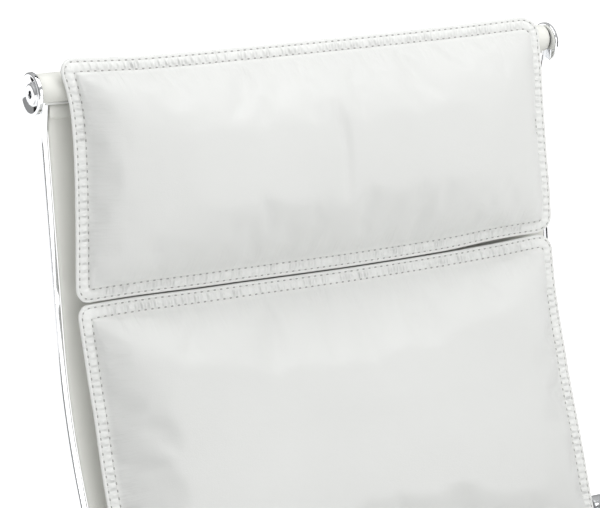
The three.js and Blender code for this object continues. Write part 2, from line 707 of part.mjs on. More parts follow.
// Joins matching four-cornered sections into one closed skin.
function skinned(sections) {
  const index = [];
  const at = (section, corner) => section * 4 + (corner % 4);
  for (let s = 0; s + 1 < sections.length; s += 1) {
    for (let c = 0; c < 4; c += 1) {
      index.push(at(s, c), at(s, c + 1), at(s + 1, c + 1));
      index.push(at(s, c), at(s + 1, c + 1), at(s + 1, c));
    }
  }
  const last = sections.length - 1;
  index.push(at(0, 2), at(0, 1), at(0, 0), at(0, 3), at(0, 2), at(0, 0));
  index.push(at(last, 0), at(last, 1), at(last, 2), at(last, 0), at(last, 2), at(last, 3));
  const geometry = new THREE.BufferGeometry();
  geometry.setAttribute('position', new THREE.Float32BufferAttribute(sections.flat(2), 3));
  geometry.setIndex(index);
  return geometry;
}

// One leg along +X, tapering in height and width to the caster tip. It is narrower on top.
function legShape() {
  const { hubTop, legReach, tipRadius, tipTop, tipBottom } = BASE;
  const root = 24;
  const heights = [
    [root, hubTop - 44, hubTop - 6], [90, hubTop - 40, hubTop - 12],
    [210, tipTop - 14, tipTop + 12], [legReach, tipTop - 22, tipTop],
  ];
  const leg = skinned(heights.map(([x, low, high]) => {
    const wide = 25 - 10 * (x - root) / (legReach - root);
    const narrow = wide * 0.62;
    return [[x, -wide, low], [x, wide, low], [x, narrow, high], [x, -narrow, high]];
  }));
  const tip = rod(tipRadius, tipBottom, tipTop + 1, FINE).translate(legReach, 0, 0);
  return solid(leg).add(solid(tip));
}

function baseStar() {
  const { hubRadius, hubBottom, hubTop, legReach, tipBottom } = BASE;
  const { bottom, taperTop, taperRadius, radius } = COLUMN;
  let star = solid(turned([
    [0, hubBottom], [hubRadius - 6, hubBottom], [hubRadius, hubBottom + 10], [hubRadius, hubTop - 8],
    [hubRadius - 4, hubTop], [0, hubTop],
  ]));
  const leg = legShape();
  for (let k = 0; k < CASTER_COUNT; k += 1) star = star.add(leg.rotate([0, 0, legAngle(k)]));
  const slack = 0.6;
  const bore = solid(turned([
    [0, hubBottom - 5], [taperRadius + slack, hubBottom - 5], [taperRadius + slack, bottom],
    [radius + slack, taperTop], [radius + slack, hubTop + 5], [0, hubTop + 5],
  ]));
  star = star.subtract(bore);
  for (let k = 0; k < CASTER_COUNT; k += 1) {
    const socket = rod(CASTER.socket, tipBottom - 5, tipBottom + 27).translate(legReach, 0, 0);
    star = star.subtract(solid(socket.rotateZ(radians(legAngle(k)))));
  }
  return piece('base_star', star, 'aluminium');
}

// The first leg points straight ahead.
function legAngle(k) {
  return -90 + k * 360 / CASTER_COUNT;
}

// Web between the wheels, hood over them, and the boss that takes the stem. The stem is on
// the local Z axis and the wheels stand outward from it along +X.
function casterHood() {
  const { wheel, offset, hood, hoodHalf, webHalf, socket } = CASTER;
  const arc = (radius, from, to, steps) => Array.from({ length: steps + 1 }, (_, k) => {
    const angle = radians(from + (to - from) * k / steps);
    return [offset + radius * Math.cos(angle), wheel + radius * Math.sin(angle)];
  });
  const cover = outline([...arc(hood, -8, 188, 9), ...arc(hood - 2.4, 188, -8, 9)]);
  const web = outline([...arc(hood - 1, 0, 180, 7), ...arc(17, 200, 340, 4)]);
  const boss = solid(rod(9.5, wheel + 14, BASE.tipBottom - 2.3, 12));
  const stemHole = solid(rod(socket, wheel + 24, BASE.tipBottom, COARSE));
  const axle = solid(rod(3, -19, 19, 10).rotateX(Math.PI / 2).translate(offset, 0, wheel));
  const wheelRoom = [1, -1].map((side) => {
    const room = rod(wheel + 0.9, webHalf, hoodHalf + 5, FINE).rotateX(side * Math.PI / 2);
    return solid(room.translate(offset, 0, wheel));
  });
  let shape = solid(frontExtruded(cover, -hoodHalf, hoodHalf)).add(boss);
  shape = shape.add(solid(frontExtruded(web, -webHalf, webHalf)));
  for (const room of wheelRoom) shape = shape.subtract(room);
  return shape.add(axle).subtract(stemHole);
}

function casterStem() {
  const { stem, wheel } = CASTER;
  const collar = BASE.tipBottom - 2;
  return turned([
    [0, wheel + 25], [stem, wheel + 25], [stem, collar], [8, collar], [8, collar + 1.6],
    [stem, collar + 1.6], [stem, BASE.tipBottom + 24], [0, BASE.tipBottom + 24],
  ], COARSE);
}

// Half of a twin wheel, its closed face outward along +Z.
function casterWheel() {
  const { wheel } = CASTER;
  return turned([
    [0, 22], [wheel - 5, 22], [wheel - 1, 20], [wheel, 16], [wheel, 5], [3.5, 5], [3.5, 19.5], [0, 19.5],
  ]).rotateZ(Math.PI / FINE);
}

function casters() {
  const hood = casterHood();
  const stem = solid(casterStem());
  const wheel = solid(casterWheel());
  return Array.from({ length: CASTER_COUNT }, (_, k) => {
    const name = `caster_${k + 1}`;
    const group = new THREE.Group();
    group.rotation.z = radians(legAngle(k));
    group.position.set(BASE.legReach, 0, 0).applyAxisAngle(new THREE.Vector3(0, 0, 1), group.rotation.z);
    const wheels = { left: 1, right: -1 };
    for (const [side, sign] of Object.entries(wheels)) {
      const mesh = piece(`${name}_wheel_${side}`, wheel, 'tyre');
      mesh.rotation.x = -sign * Math.PI / 2;
      mesh.position.set(CASTER.offset, 0, CASTER.wheel * Math.cos(Math.PI / FINE));
      group.add(mesh);
    }
    group.add(piece(`${name}_hood`, hood, 'black_plastic'), piece(`${name}_stem`, stem, 'steel'));
    return group;
  });
}

// ---- the chair ----------------------------------------------------------------------------

const chair = new THREE.Group();
chair.add(
  ...rails(), ...crossTubes(), ...endCaps(), sling(), ...pads(), backSpreader(),
  seatSpreader('seat_spreader_front', 945), seatSpreader('seat_spreader_rear', 835), ...arms(),
  tiltPlate(), tiltHousing(), tiltAxle(), tiltSpring(), tensionBolt(), tensionKnob(), ...lever(),
  ...columnPieces(), ...footRing(), baseStar(), ...casters(),
);

export default chair;
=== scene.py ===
import json
import math
import random

import bmesh
import bpy
import numpy as np
from mathutils import Matrix, Vector
from mathutils.bvhtree import BVHTree


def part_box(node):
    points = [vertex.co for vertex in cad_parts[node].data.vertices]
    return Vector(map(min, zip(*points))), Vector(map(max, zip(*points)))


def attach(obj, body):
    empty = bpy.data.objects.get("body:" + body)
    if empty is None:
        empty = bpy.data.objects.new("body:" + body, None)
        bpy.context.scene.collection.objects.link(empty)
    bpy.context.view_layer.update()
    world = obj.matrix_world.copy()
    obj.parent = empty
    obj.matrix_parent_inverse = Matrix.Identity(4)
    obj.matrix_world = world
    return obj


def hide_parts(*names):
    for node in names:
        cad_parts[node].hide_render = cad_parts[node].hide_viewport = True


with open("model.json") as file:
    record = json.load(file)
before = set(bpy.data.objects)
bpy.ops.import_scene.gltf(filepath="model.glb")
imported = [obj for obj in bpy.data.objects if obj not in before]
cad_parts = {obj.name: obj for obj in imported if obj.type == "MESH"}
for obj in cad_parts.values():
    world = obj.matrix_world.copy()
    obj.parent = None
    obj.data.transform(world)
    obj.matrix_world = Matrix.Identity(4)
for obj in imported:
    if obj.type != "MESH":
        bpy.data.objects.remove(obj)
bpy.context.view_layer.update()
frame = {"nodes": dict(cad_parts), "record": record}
MM = 0.001
rng = random.Random(7)

# ---- the side profile, as in the frame ------------------------------------------------------

# Points of (distance run down from the top roll in mm, lean from vertical in degrees).
PROFILE = [(0, 6.7), (200, 6.7), (320, 23), (470, 23), (580, 14), (640, 14), (760, 95), (1080, 92),
           (1170, 60)]
PROFILE_LENGTH = 1.170
SIDES = (("left", 1), ("right", -1))
# Where each pad starts and ends along the profile, in mm.
PADS = {
    "head_pad": (-27, 168),
    "upper_back_pad": (172, 457),
    "lumbar_pad": (461, 700),
    "seat_pad": (704, 1146),
}


def middle(node):
    low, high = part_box(node)
    return (low + high) / 2


def cap_axis(node):
    spot = middle(node)
    return Vector((0, spot.y, spot.z))


TOP_ROLL = cap_axis("top_end_cap_left")
FRONT_ROLL = cap_axis("front_end_cap_left")
ROLL_BEYOND = 0.0035


def profile_table():
    """Run, y, z and lean at half-millimetre steps, from a little above the top roll to the front roll."""
    runs = np.arange(-40, 1190.5, 0.5) * MM
    knots = np.array(PROFILE, float)
    lean = np.radians(np.interp(runs / MM, knots[:, 0], knots[:, 1]))
    between = (lean[1:] + lean[:-1]) / 2
    step = np.diff(runs)
    y = np.concatenate([[0], np.cumsum(-np.sin(between) * step)])
    z = np.concatenate([[0], np.cumsum(-np.cos(between) * step)])
    y += TOP_ROLL.y - np.interp(0, runs, y)
    z += TOP_ROLL.z - np.interp(0, runs, z)
    return runs, y, z, lean


RUNS, PROFILE_Y, PROFILE_Z, PROFILE_LEAN = profile_table()


def on_profile(x, run, off):
    """Points at x, at a distance run down the profile, moved off it towards the sitter. Arrays or numbers."""
    y = np.interp(run, RUNS, PROFILE_Y)
    z = np.interp(run, RUNS, PROFILE_Z)
    lean = np.interp(run, RUNS, PROFILE_LEAN)
    return np.stack(np.broadcast_arrays(x, y - off * np.cos(lean), z + off * np.sin(lean)), -1)


def lean_at(run):
    """The profile's lean at one distance run down it, as a plain number."""
    return float(np.interp(run, RUNS, PROFILE_LEAN))


# ---- materials ------------------------------------------------------------------------------

STITCH_PITCH = 0.0061


class Nodes:
    """A short way to write a material's node tree. In a keyword, an underscore stands for a space."""

    def __init__(self, name):
        self.material = bpy.data.materials.new(name)
        self.material.use_nodes = True
        self.tree = self.material.node_tree
        self.shader = self.tree.nodes["Principled BSDF"]
        self.place = self.add("ShaderNodeTexCoord").outputs["Object"]

    def add(self, kind, **values):
        node = self.tree.nodes.new(kind)
        for key, value in values.items():
            if hasattr(node, key):
                setattr(node, key, value)
            else:
                node.inputs[key.replace("_", " ")].default_value = value
        return node

    def link(self, output, socket):
        self.tree.links.new(output, socket)

    def math(self, operation, value, other=None):
        node = self.add("ShaderNodeMath", operation=operation)
        for socket, given in zip(node.inputs, (value, other)):
            if isinstance(given, bpy.types.NodeSocket):
                self.link(given, socket)
            elif given is not None:
                socket.default_value = given
        return node.outputs["Value"]

    def field(self, name):
        """A number that the mesh carries at each of its points."""
        return self.add("ShaderNodeAttribute", attribute_name=name).outputs["Fac"]

    def noise(self, scale, detail=4.0, roughness=0.55, stretch=None):
        node = self.add("ShaderNodeTexNoise", Scale=scale, Detail=detail, Roughness=roughness)
        self.link(self.stretched(stretch), node.inputs["Vector"])
        return node.outputs["Fac"]

    def cells(self, scale, feature="F1", stretch=None):
        node = self.add("ShaderNodeTexVoronoi", feature=feature, Scale=scale)
        self.link(self.stretched(stretch), node.inputs["Vector"])
        return node.outputs["Distance"]

    def stretched(self, stretch):
        if stretch is None:
            return self.place
        node = self.add("ShaderNodeMapping", Scale=stretch)
        self.link(self.place, node.inputs["Vector"])
        return node.outputs["Vector"]

    def ramp(self, value, stops):
        node = self.add("ShaderNodeValToRGB")
        elements = node.color_ramp.elements
        while len(elements) < len(stops):
            elements.new(0.5)
        for element, (position, colour) in zip(elements, stops):
            element.position = position
            element.color = (*colour, 1) if len(colour) == 3 else colour
        self.link(value, node.inputs["Fac"])
        return node.outputs["Color"]

    def span(self, value, low, high, from_low=0.0, from_high=1.0):
        node = self.add("ShaderNodeMapRange", From_Min=from_low, From_Max=from_high, To_Min=low, To_Max=high)
        self.link(value, node.inputs["Value"])
        return node.outputs["Result"]

    def mixed(self, factor, one, other):
        node = self.add("ShaderNodeMix", data_type="RGBA")
        self.link(factor, node.inputs["Factor"])
        for socket, colour in ((node.inputs["A"], one), (node.inputs["B"], other)):
            if isinstance(colour, tuple):
                socket.default_value = (*colour, 1)
            else:
                self.link(colour, socket)
        return node.outputs["Result"]

    def bumps(self, *layers):
        """Each layer is (height, distance in metres, strength)."""
        normal = None
        for height, distance, strength in layers:
            node = self.add("ShaderNodeBump", Distance=distance, Strength=strength)
            self.link(height, node.inputs["Height"])
            if normal is not None:
                self.link(normal, node.inputs["Normal"])
            normal = node.outputs["Normal"]
        self.link(normal, self.shader.inputs["Normal"])

    def set(self, **values):
        for key, value in values.items():
            socket = self.shader.inputs[key.replace("_", " ")]
            if isinstance(value, bpy.types.NodeSocket):
                self.link(value, socket)
            elif isinstance(value, tuple):
                socket.default_value = (*value, 1)
            else:
                socket.default_value = value
        return self.material


def seam_bumps(n):
    """Puckers between a pad's two rows of stitches, and short tension wrinkles inside the seam."""
    edge, along, off_corner = n.field("seam_edge"), n.field("seam_along"), n.field("off_corner")
    turns = n.math("MULTIPLY", along, 2 * math.pi / STITCH_PITCH)
    uneven = n.span(n.noise(95.0, detail=2.0), 0.15, 1.5, 0.3, 0.7)
    wave = n.math("MULTIPLY", n.math("COSINE", turns), uneven)
    over_flange = n.span(edge, 0.0, 1.0, 0.0035, 0.0065)
    to_seam = n.span(edge, 1.0, 0.0, 0.0085, 0.0112)
    here = n.math("MULTIPLY", n.math("MULTIPLY", over_flange, to_seam), off_corner)
    puckers = n.math("MULTIPLY", wave, here)
    spot = n.add("ShaderNodeCombineXYZ")
    n.link(n.math("MULTIPLY", edge, 24.0), spot.inputs["X"])
    n.link(n.math("MULTIPLY", along, 210.0), spot.inputs["Y"])
    texture = n.add("ShaderNodeTexNoise", Scale=1.0, Detail=4.0)
    n.link(spot.outputs["Vector"], texture.inputs["Vector"])
    inside = n.span(edge, 1.0, 0.0, 0.0125, 0.036)
    wrinkles = n.math("MULTIPLY", texture.outputs["Fac"], n.math("MULTIPLY", inside, off_corner))
    return (puckers, 0.0009, 0.75), (wrinkles, 0.0026, 0.7)


def leather(name, light, shade, grain=1.0, seams=False):
    """Smooth white upholstery leather: fine pebble grain, faint creases and a soft sheen."""
    n = Nodes(name)
    cloudy = n.noise(9.0, detail=5.0)
    tone = n.ramp(cloudy, [(0.3, shade), (0.68, light)])
    pebble = n.cells(1150.0 / grain, feature="SMOOTH_F1")
    pores = n.noise(2600.0 / grain, detail=2.0)
    creases = n.noise(70.0, detail=6.0, roughness=0.6, stretch=(1.0, 1.0, 2.2))
    layers = [(creases, 0.0006, 0.28), (pebble, 0.00012, 0.55), (pores, 0.00005, 0.35)]
    if seams:
        layers += seam_bumps(n)
        # Painted light: the flange is coloured lighter than the rest of the pad, standing in for light that
        # the puff's shade keeps off it.
        edge = n.field("seam_edge")
        flange = tuple(min(0.93, 1.11 * c) for c in light)
        tone = n.mixed(n.span(edge, 0.0, 1.0, 0.0095, 0.0150), flange, tone)
    n.bumps(*layers)
    rough = n.span(n.noise(45.0), 0.40, 0.54)
    n.set(Base_Color=tone, Roughness=rough, Specular_IOR_Level=0.42)
    return n.set(Sheen_Weight=0.06, Sheen_Roughness=0.4)


def chrome():
    n = Nodes("polished_chrome")
    smudge = n.noise(26.0, detail=6.0, roughness=0.7)
    tone = n.ramp(n.noise(5.0), [(0.3, (0.80, 0.81, 0.83)), (0.7, (0.90, 0.905, 0.91))])
    n.bumps((n.noise(220.0, detail=2.0), 0.00002, 0.12))
    rough = n.span(smudge, 0.035, 0.11, 0.35, 0.75)
    return n.set(Base_Color=tone, Metallic=1.0, Roughness=rough)


def aluminium():
    n = Nodes("polished_aluminium")
    tone = n.ramp(n.noise(6.0), [(0.3, (0.72, 0.73, 0.74)), (0.7, (0.84, 0.845, 0.85))])
    n.bumps((n.noise(160.0, detail=3.0), 0.00003, 0.2))
    rough = n.span(n.noise(18.0, detail=6.0), 0.10, 0.22, 0.3, 0.75)
    return n.set(Base_Color=tone, Metallic=1.0, Roughness=rough)


def steel():
    n = Nodes("machined_steel")
    lines = n.noise(900.0, detail=2.0, stretch=(0.15, 0.15, 1.0))
    tone = n.ramp(n.noise(40.0), [(0.3, (0.36, 0.37, 0.38)), (0.7, (0.55, 0.56, 0.57))])
    n.bumps((lines, 0.00003, 0.35))
    return n.set(Base_Color=tone, Metallic=1.0, Roughness=n.span(lines, 0.24, 0.42))


def black_metal():
    n = Nodes("black_powder_coat")
    speckle = n.cells(900.0)
    tone = n.ramp(n.noise(12.0), [(0.3, (0.012, 0.012, 0.013)), (0.75, (0.028, 0.028, 0.030))])
    n.bumps((speckle, 0.00015, 0.5), (n.noise(300.0), 0.0001, 0.3))
    return n.set(Base_Color=tone, Roughness=n.span(n.noise(60.0), 0.36, 0.55), Specular_IOR_Level=0.5)


def black_plastic():
    n = Nodes("black_nylon")
    tone = n.ramp(n.noise(20.0), [(0.3, (0.010, 0.010, 0.011)), (0.7, (0.022, 0.022, 0.023))])
    n.bumps((n.noise(700.0, detail=5.0), 0.0001, 0.45))
    return n.set(Base_Color=tone, Roughness=n.span(n.noise(35.0), 0.42, 0.6), Specular_IOR_Level=0.45)


def tyre():
    n = Nodes("caster_tread")
    dust = n.noise(90.0, detail=6.0, roughness=0.7)
    tone = n.ramp(dust, [(0.35, (0.018, 0.018, 0.019)), (0.8, (0.060, 0.059, 0.057))])
    n.bumps((n.noise(1100.0), 0.00008, 0.4))
    return n.set(Base_Color=tone, Roughness=n.span(dust, 0.5, 0.75))


def thread(name, colour):
    n = Nodes(name)
    twist = n.noise(1800.0, detail=1.0, stretch=(1.0, 1.0, 0.4))
    n.bumps((twist, 0.0001, 0.6))
    dark = tuple(0.8 * c for c in colour)
    return n.set(Base_Color=n.ramp(twist, [(0.3, dark), (0.7, colour)]), Roughness=0.7, Sheen_Weight=0.1)


MATERIALS = {
    "pad_leather": leather("pad_leather_skin", (0.71, 0.715, 0.70), (0.69, 0.695, 0.68), seams=True),
    "plain_leather": leather("plain_leather_skin", (0.78, 0.785, 0.77), (0.745, 0.75, 0.735)),
    "sling_leather": leather("sling_leather_skin", (0.80, 0.80, 0.755), (0.76, 0.76, 0.715), grain=1.2),
    "chrome": chrome(),
    "polished_aluminium": aluminium(),
    "steel": steel(),
    "black_metal": black_metal(),
    "black_plastic": black_plastic(),
    "tyre": tyre(),
    "thread": thread("seam_thread", (0.84, 0.84, 0.82)),
    # Painted shade: a dark grey for the shadow inside each needle hole between two stitches.
    "needle_hole": thread("needle_hole_painted_shade", (0.40, 0.40, 0.385)),
}

# ---- making pieces --------------------------------------------------------------------------

X_OUT = {1: Matrix.Rotation(math.pi / 2, 4, "Y"), -1: Matrix.Rotation(-math.pi / 2, 4, "Y")}


def new_object(name, verts, faces):
    """An object in the scene, from points and faces."""
    mesh = bpy.data.meshes.new(name)
    mesh.from_pydata([tuple(map(float, v)) for v in verts], [], faces)
    return placed_object(name, mesh)


def placed_object(name, data):
    obj = bpy.data.objects.new(name, data)
    bpy.context.scene.collection.objects.link(obj)
    return obj


def points_of(mesh):
    return np.array([v.co for v in mesh.vertices], float)


def set_points(mesh, points):
    mesh.vertices.foreach_set("co", points.astype(np.float32).reshape(-1))


def tube_faces(rows, count):
    """Faces round rows of count points each, with one face over each end."""
    faces = []
    for low in range(0, (rows - 1) * count, count):
        for k in range(count):
            turn = (k + 1) % count
            faces.append((low + k, low + turn, low + count + turn, low + count + k))
    return faces + [tuple(reversed(range(count))), tuple((rows - 1) * count + k for k in range(count))]


def sharpen(mesh, degrees=38.0):
    """Smooth shading with crisp edges where two faces meet at more than the given angle."""
    b = bmesh.new()
    b.from_mesh(mesh)
    limit = math.radians(degrees)
    for face in b.faces:
        face.smooth = True
    for edge in b.edges:
        edge.smooth = len(edge.link_faces) != 2 or edge.calc_face_angle(0) < limit
    b.to_mesh(mesh)
    b.free()


def piece(name, verts, faces, body, slot, nodes=(), material=None, smooth_angle=38.0, bevel=0.0, segments=2):
    """A finished piece from points and faces, which rides on a body and may stand in for CAD nodes."""
    obj = new_object(name, verts, faces)
    return finished(obj, body, slot, nodes, material, smooth_angle, bevel, segments)


def finished(obj, body, slot, nodes=(), material=None, smooth_angle=38.0, bevel=0.0, segments=2):
    """Normals, material, rounding and shading for an object, its body, its slot and the nodes it replaces."""
    obj.data.validate()
    b = bmesh.new()
    b.from_mesh(obj.data)
    bmesh.ops.recalc_face_normals(b, faces=b.faces)
    b.to_mesh(obj.data)
    b.free()
    obj.data.materials.append(MATERIALS[material or slot])
    if bevel:
        rounding = obj.modifiers.new("rounding", "BEVEL")
        rounding.width = bevel
        rounding.segments = segments
        rounding.limit_method = "ANGLE"
        rounding.angle_limit = math.radians(35)
        freeze(obj)
    sharpen(obj.data, smooth_angle)
    if bevel:
        flats = obj.modifiers.new("flats", "WEIGHTED_NORMAL")
        flats.keep_sharp = True
        freeze(obj)
    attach(obj, body)
    if nodes:
        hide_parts(*nodes)
    return obj


BODY = {node: body for body, nodes in frame["record"]["behaviour"]["bodies"].items() for node in nodes}


def freeze(obj):
    """Applies the object's modifiers to its mesh."""
    view = bpy.context.evaluated_depsgraph_get()
    fresh = bpy.data.meshes.new_from_object(obj.evaluated_get(view))
    obj.modifiers.clear()
    old = obj.data
    obj.data = fresh
    bpy.data.meshes.remove(old)


def join_lists(parts):
    """Joins (verts, faces) lists into one."""
    verts, faces = [], []
    for part_verts, part_faces in parts:
        start = len(verts)
        verts.extend(part_verts)
        faces.extend([tuple(start + i for i in face) for face in part_faces])
    return verts, faces


def moved(part, matrix):
    verts, faces = part
    return [matrix @ Vector(v) for v in verts], faces


def rounded(profile, radius=0.0008, steps=3):
    """Rounds the corners of an open outline of (a, b) points, all but its ends."""
    out = [tuple(profile[0])]
    for before, corner, after in zip(profile, profile[1:], profile[2:]):
        c, p, n = Vector(corner), Vector(before), Vector(after)
        one, two = p - c, n - c
        reach = min(radius, one.length * 0.45, two.length * 0.45)
        if reach < 1e-6 or one.angle(two, math.pi) > math.radians(170):
            out.append(tuple(c))
            continue
        start, end = c + one.normalized() * reach, c + two.normalized() * reach
        for k in range(steps + 1):
            t = k / steps
            out.append(tuple((1 - t) ** 2 * start + 2 * t * (1 - t) * c + t * t * end))
    out.append(tuple(profile[-1]))
    return out


def lathe(profile, segments=64, rounding=0.0008):
    """Turns (radius, height) points about Z. An outline that starts off the axis is closed on itself."""
    closed = profile[0][0] > 1e-9
    if closed:
        start = ((profile[0][0] + profile[-1][0]) / 2, (profile[0][1] + profile[-1][1]) / 2)
        outline = rounded([start, *profile, start], rounding)[:-1]
    else:
        outline = rounded(profile, rounding)
    verts, rows = [], []
    for r, h in outline:
        if r < 1e-9:
            rows.append([len(verts)] * segments)
            verts.append((0, 0, h))
            continue
        rows.append(list(range(len(verts), len(verts) + segments)))
        for k in range(segments):
            a = 2 * math.pi * k / segments
            verts.append((r * math.cos(a), r * math.sin(a), h))
    faces = []
    for low, high in zip(rows, rows[1:] + rows[:1] if closed else rows[1:]):
        for k in range(segments):
            corner = [low[k], low[(k + 1) % segments], high[(k + 1) % segments], high[k]]
            face = list(dict.fromkeys(corner))
            if len(face) >= 3:
                faces.append(tuple(face))
    return verts, faces


def extruded(outline, depth):
    """A prism of an (a, b) outline, from c = 0 to c = depth, as points (a, b, c)."""
    b = bmesh.new()
    b.faces.new([b.verts.new((p[0], p[1], 0)) for p in outline])
    lifted = bmesh.ops.extrude_face_region(b, geom=b.faces[:])
    up = [v for v in lifted["geom"] if isinstance(v, bmesh.types.BMVert)]
    bmesh.ops.translate(b, verts=up, vec=(0, 0, depth))
    bmesh.ops.recalc_face_normals(b, faces=b.faces)
    b.verts.index_update()
    verts = [tuple(v.co) for v in b.verts]
    faces = [tuple(v.index for v in f.verts) for f in b.faces]
    b.free()
    return verts, faces


def sweep(section, centres, sides, ups):
    """Sweeps an (a, b) section along a line of centres, with a face at each end."""
    verts = []
    for centre, side, up in zip(centres, sides, ups):
        for a, b in section:
            verts.append(Vector(centre) + Vector(side) * a + Vector(up) * b)
    return verts, tube_faces(len(centres), len(section))


def oval(half_width, half_height, power=2.0, count=24):
    """A superellipse section."""
    points = []
    for k in range(count):
        a = 2 * math.pi * k / count
        c, s = math.cos(a), math.sin(a)
        points.append((half_width * math.copysign(abs(c) ** (2 / power), c),
                       half_height * math.copysign(abs(s) ** (2 / power), s)))
    return points


# ---- padded pieces --------------------------------------------------------------------------

PAD_HALF = 0.235
FLANGE = 0.0120
FLANGE_OFF = 0.017
FLANGE_THICK = 0.0018
FLANGE_DROOP = 0.0028
# How far a pad stands out before it is blown up: a steep rise beside the seam, and a broad crown.
SEAM_PUFF = 0.0105
CROWN_PUFF = 0.0125
ROW_OUTER = 0.0032
ROW_INNER = 0.0114
PAD_SWELL = 0.012
# Length, width and height of a stitch and of the dark mark between two stitches, painted shade for the needle
# hole there.
STITCH = (0.0040, 0.0009, 0.0009)
NEEDLE_HOLE = (0.0024, 0.0013, 0.0006)

# How far each edge lies outward of a plain rectangle: [distance along the edge, outward], in mm.
EDGES = {
    "head_pad": {
        "right": [(-27, 3.4), (-18, 2.2), (-10, -0.5), (-2, -2.9), (9, -4.9), (30, -5.8), (46, -5.3),
                  (61, -4.9), (109, -1.8), (157, 2.2), (168, 2.4)],
        "left": [(-27, -1), (-4, -1.5), (14, 0.2), (50, 0.4), (90, 1.4), (131, 3.2), (168, 3)],
        "top": [(-235, 0.3), (-227, -0.2), (-209, -1.2), (-187, -2.6), (-164, -3.8), (-109, -4.4),
                (-14, -4.3), (87, -3.9), (154, -3.1), (213, -1.6), (235, -1.6)],
        "bottom": [(-235, 1.3), (-216, 1.3), (-198, 1.1), (-171, 1.3), (-124, 2.5), (-77, 3.0),
                   (-28, 3.9), (22, 4.6), (73, 4.6), (126, 4.0), (160, 1.6), (185, 0.6), (210, 0.4),
                   (235, 0.6)],
    },
    "upper_back_pad": {
        "right": [(172, 2.6), (193, 0.8), (214, -0.9), (236, -2.1), (265, -3.4), (290, -2.8), (338, -0.8),
                  (400, -1.8), (457, 1.6)],
        "left": [(172, 1.8), (185, 2.6), (218, 3.9), (247, 5.6), (276, 7.0), (328, 5.6), (355, 4.4),
                 (382, 3.0), (421, 0.2), (457, 1.6)],
        "top": [(-235, 1.6), (-225, 2.0), (-198, 2.5), (-171, 2.3), (-124, 1.1), (-77, 0.6), (-28, -0.3),
                (22, -1.0), (73, -1.0), (126, -0.6), (160, 0.2), (185, 0.9), (210, 2.4), (235, 2.8)],
        "bottom": [(-235, 0), (-180, -1.6), (-60, 0.6), (70, 0.9), (180, -1.4), (235, 0)],
    },
    "lumbar_pad": {
        "right": [(461, 1.5), (500, -2.2), (580, -3.6), (660, -2.4), (700, 1.2)],
        "left": [(461, 1.5), (505, -1.8), (575, -3.2), (650, -2.6), (700, 1.4)],
        "top": [(-235, 0), (-180, 1.2), (-60, -0.8), (70, -1.2), (180, 1.0), (235, 0)],
        "bottom": [(-235, 0), (-170, -1.8), (-50, 0.4), (60, 0.5), (180, -1.4), (235, 0)],
    },
    "seat_pad": {
        "right": [(704, 1.5), (750, -2.4), (860, -3.8), (1000, -3.5), (1100, -2.0), (1146, 1.5)],
        "left": [(704, 1.5), (755, -2.0), (850, -3.6), (990, -3.8), (1095, -2.2), (1146, 1.5)],
        "top": [(-235, 0), (-180, 1.4), (-60, -0.6), (70, -0.8), (180, 1.2), (235, 0)],
        "bottom": [(-235, 0), (-190, -2.0), (-60, -3.0), (60, -2.8), (190, -2.2), (235, 0)],
    },
}
# Corner radii in mm: top right, top left, bottom right, bottom left, as the sitter has them.
CORNERS = {
    "head_pad": (13, 19, 13, 16),
    "upper_back_pad": (10, 15, 13, 13),
    "lumbar_pad": (12, 12, 13, 12),
    "seat_pad": (12, 12, 22, 22),
}


def edge_lines(length, step):
    """Distances across a pad: close together over the flange and its two seams, then even."""
    near = [n * MM for n in (0, 0.9, 2.3, 3.2, 4.1, 7.0, 10.2, 11.4, 12.6, 14.6, 18.0, 22.5)]
    count = max(2, round((length - 2 * near[-1]) / step))
    inner = np.linspace(near[-1], length - near[-1], count + 1)[1:-1]
    return np.array([*near, *inner, *[length - n for n in reversed(near)]])


def dome(distance, reach, power):
    """0 at the seam, rising steeply, 1 from reach inwards."""
    t = np.clip(distance / reach, 0, 1)
    return (1 - (1 - t) ** power) ** (1 / power)


def dip(distance, seam, width=0.0009):
    """A narrow valley of depth 1 along a seam."""
    return np.exp(-(((distance - seam) / width) ** 2))


def flange_front(edge):
    """Height of the flange's front: a rolled edge, a swell between the rows, and a valley at each row."""
    rounding = 1 - (1 - np.clip(edge, 0, FLANGE_THICK) / FLANGE_THICK) ** 2
    roll = FLANGE_THICK * np.sqrt(np.clip(rounding, 0, 1))
    swell = 0.0007 * np.sin(np.clip((edge - ROW_OUTER) / (ROW_INNER - ROW_OUTER), 0, 1) * math.pi)
    return roll + swell - 0.0009 * dip(edge, ROW_OUTER) - 0.0012 * dip(edge, ROW_INNER)


def both(dx, dr, reach_x, reach_r, power):
    """A dome over the area inside the inner row of stitches."""
    inner_x, inner_r = np.clip(dx - ROW_INNER, 0, 1), np.clip(dr - ROW_INNER, 0, 1)
    return dome(inner_x, reach_x, power) * dome(inner_r, reach_r, power)


def from_edges(x, run, start, end):
    """How far flat points lie in from a pad's side edges, and from its upper and lower ones."""
    return PAD_HALF - np.abs(x), np.minimum(run - start, end - run)


def droop(x, run, start, end):
    """How far the flange falls back towards the sling along a pad's upper and lower edges."""
    dx, dr = from_edges(x, run, start, end)
    along_end = np.clip((dx - dr) / 0.010, 0, 1)
    return FLANGE_DROOP * np.clip(1 - dr / ROW_INNER, 0, 1) * along_end


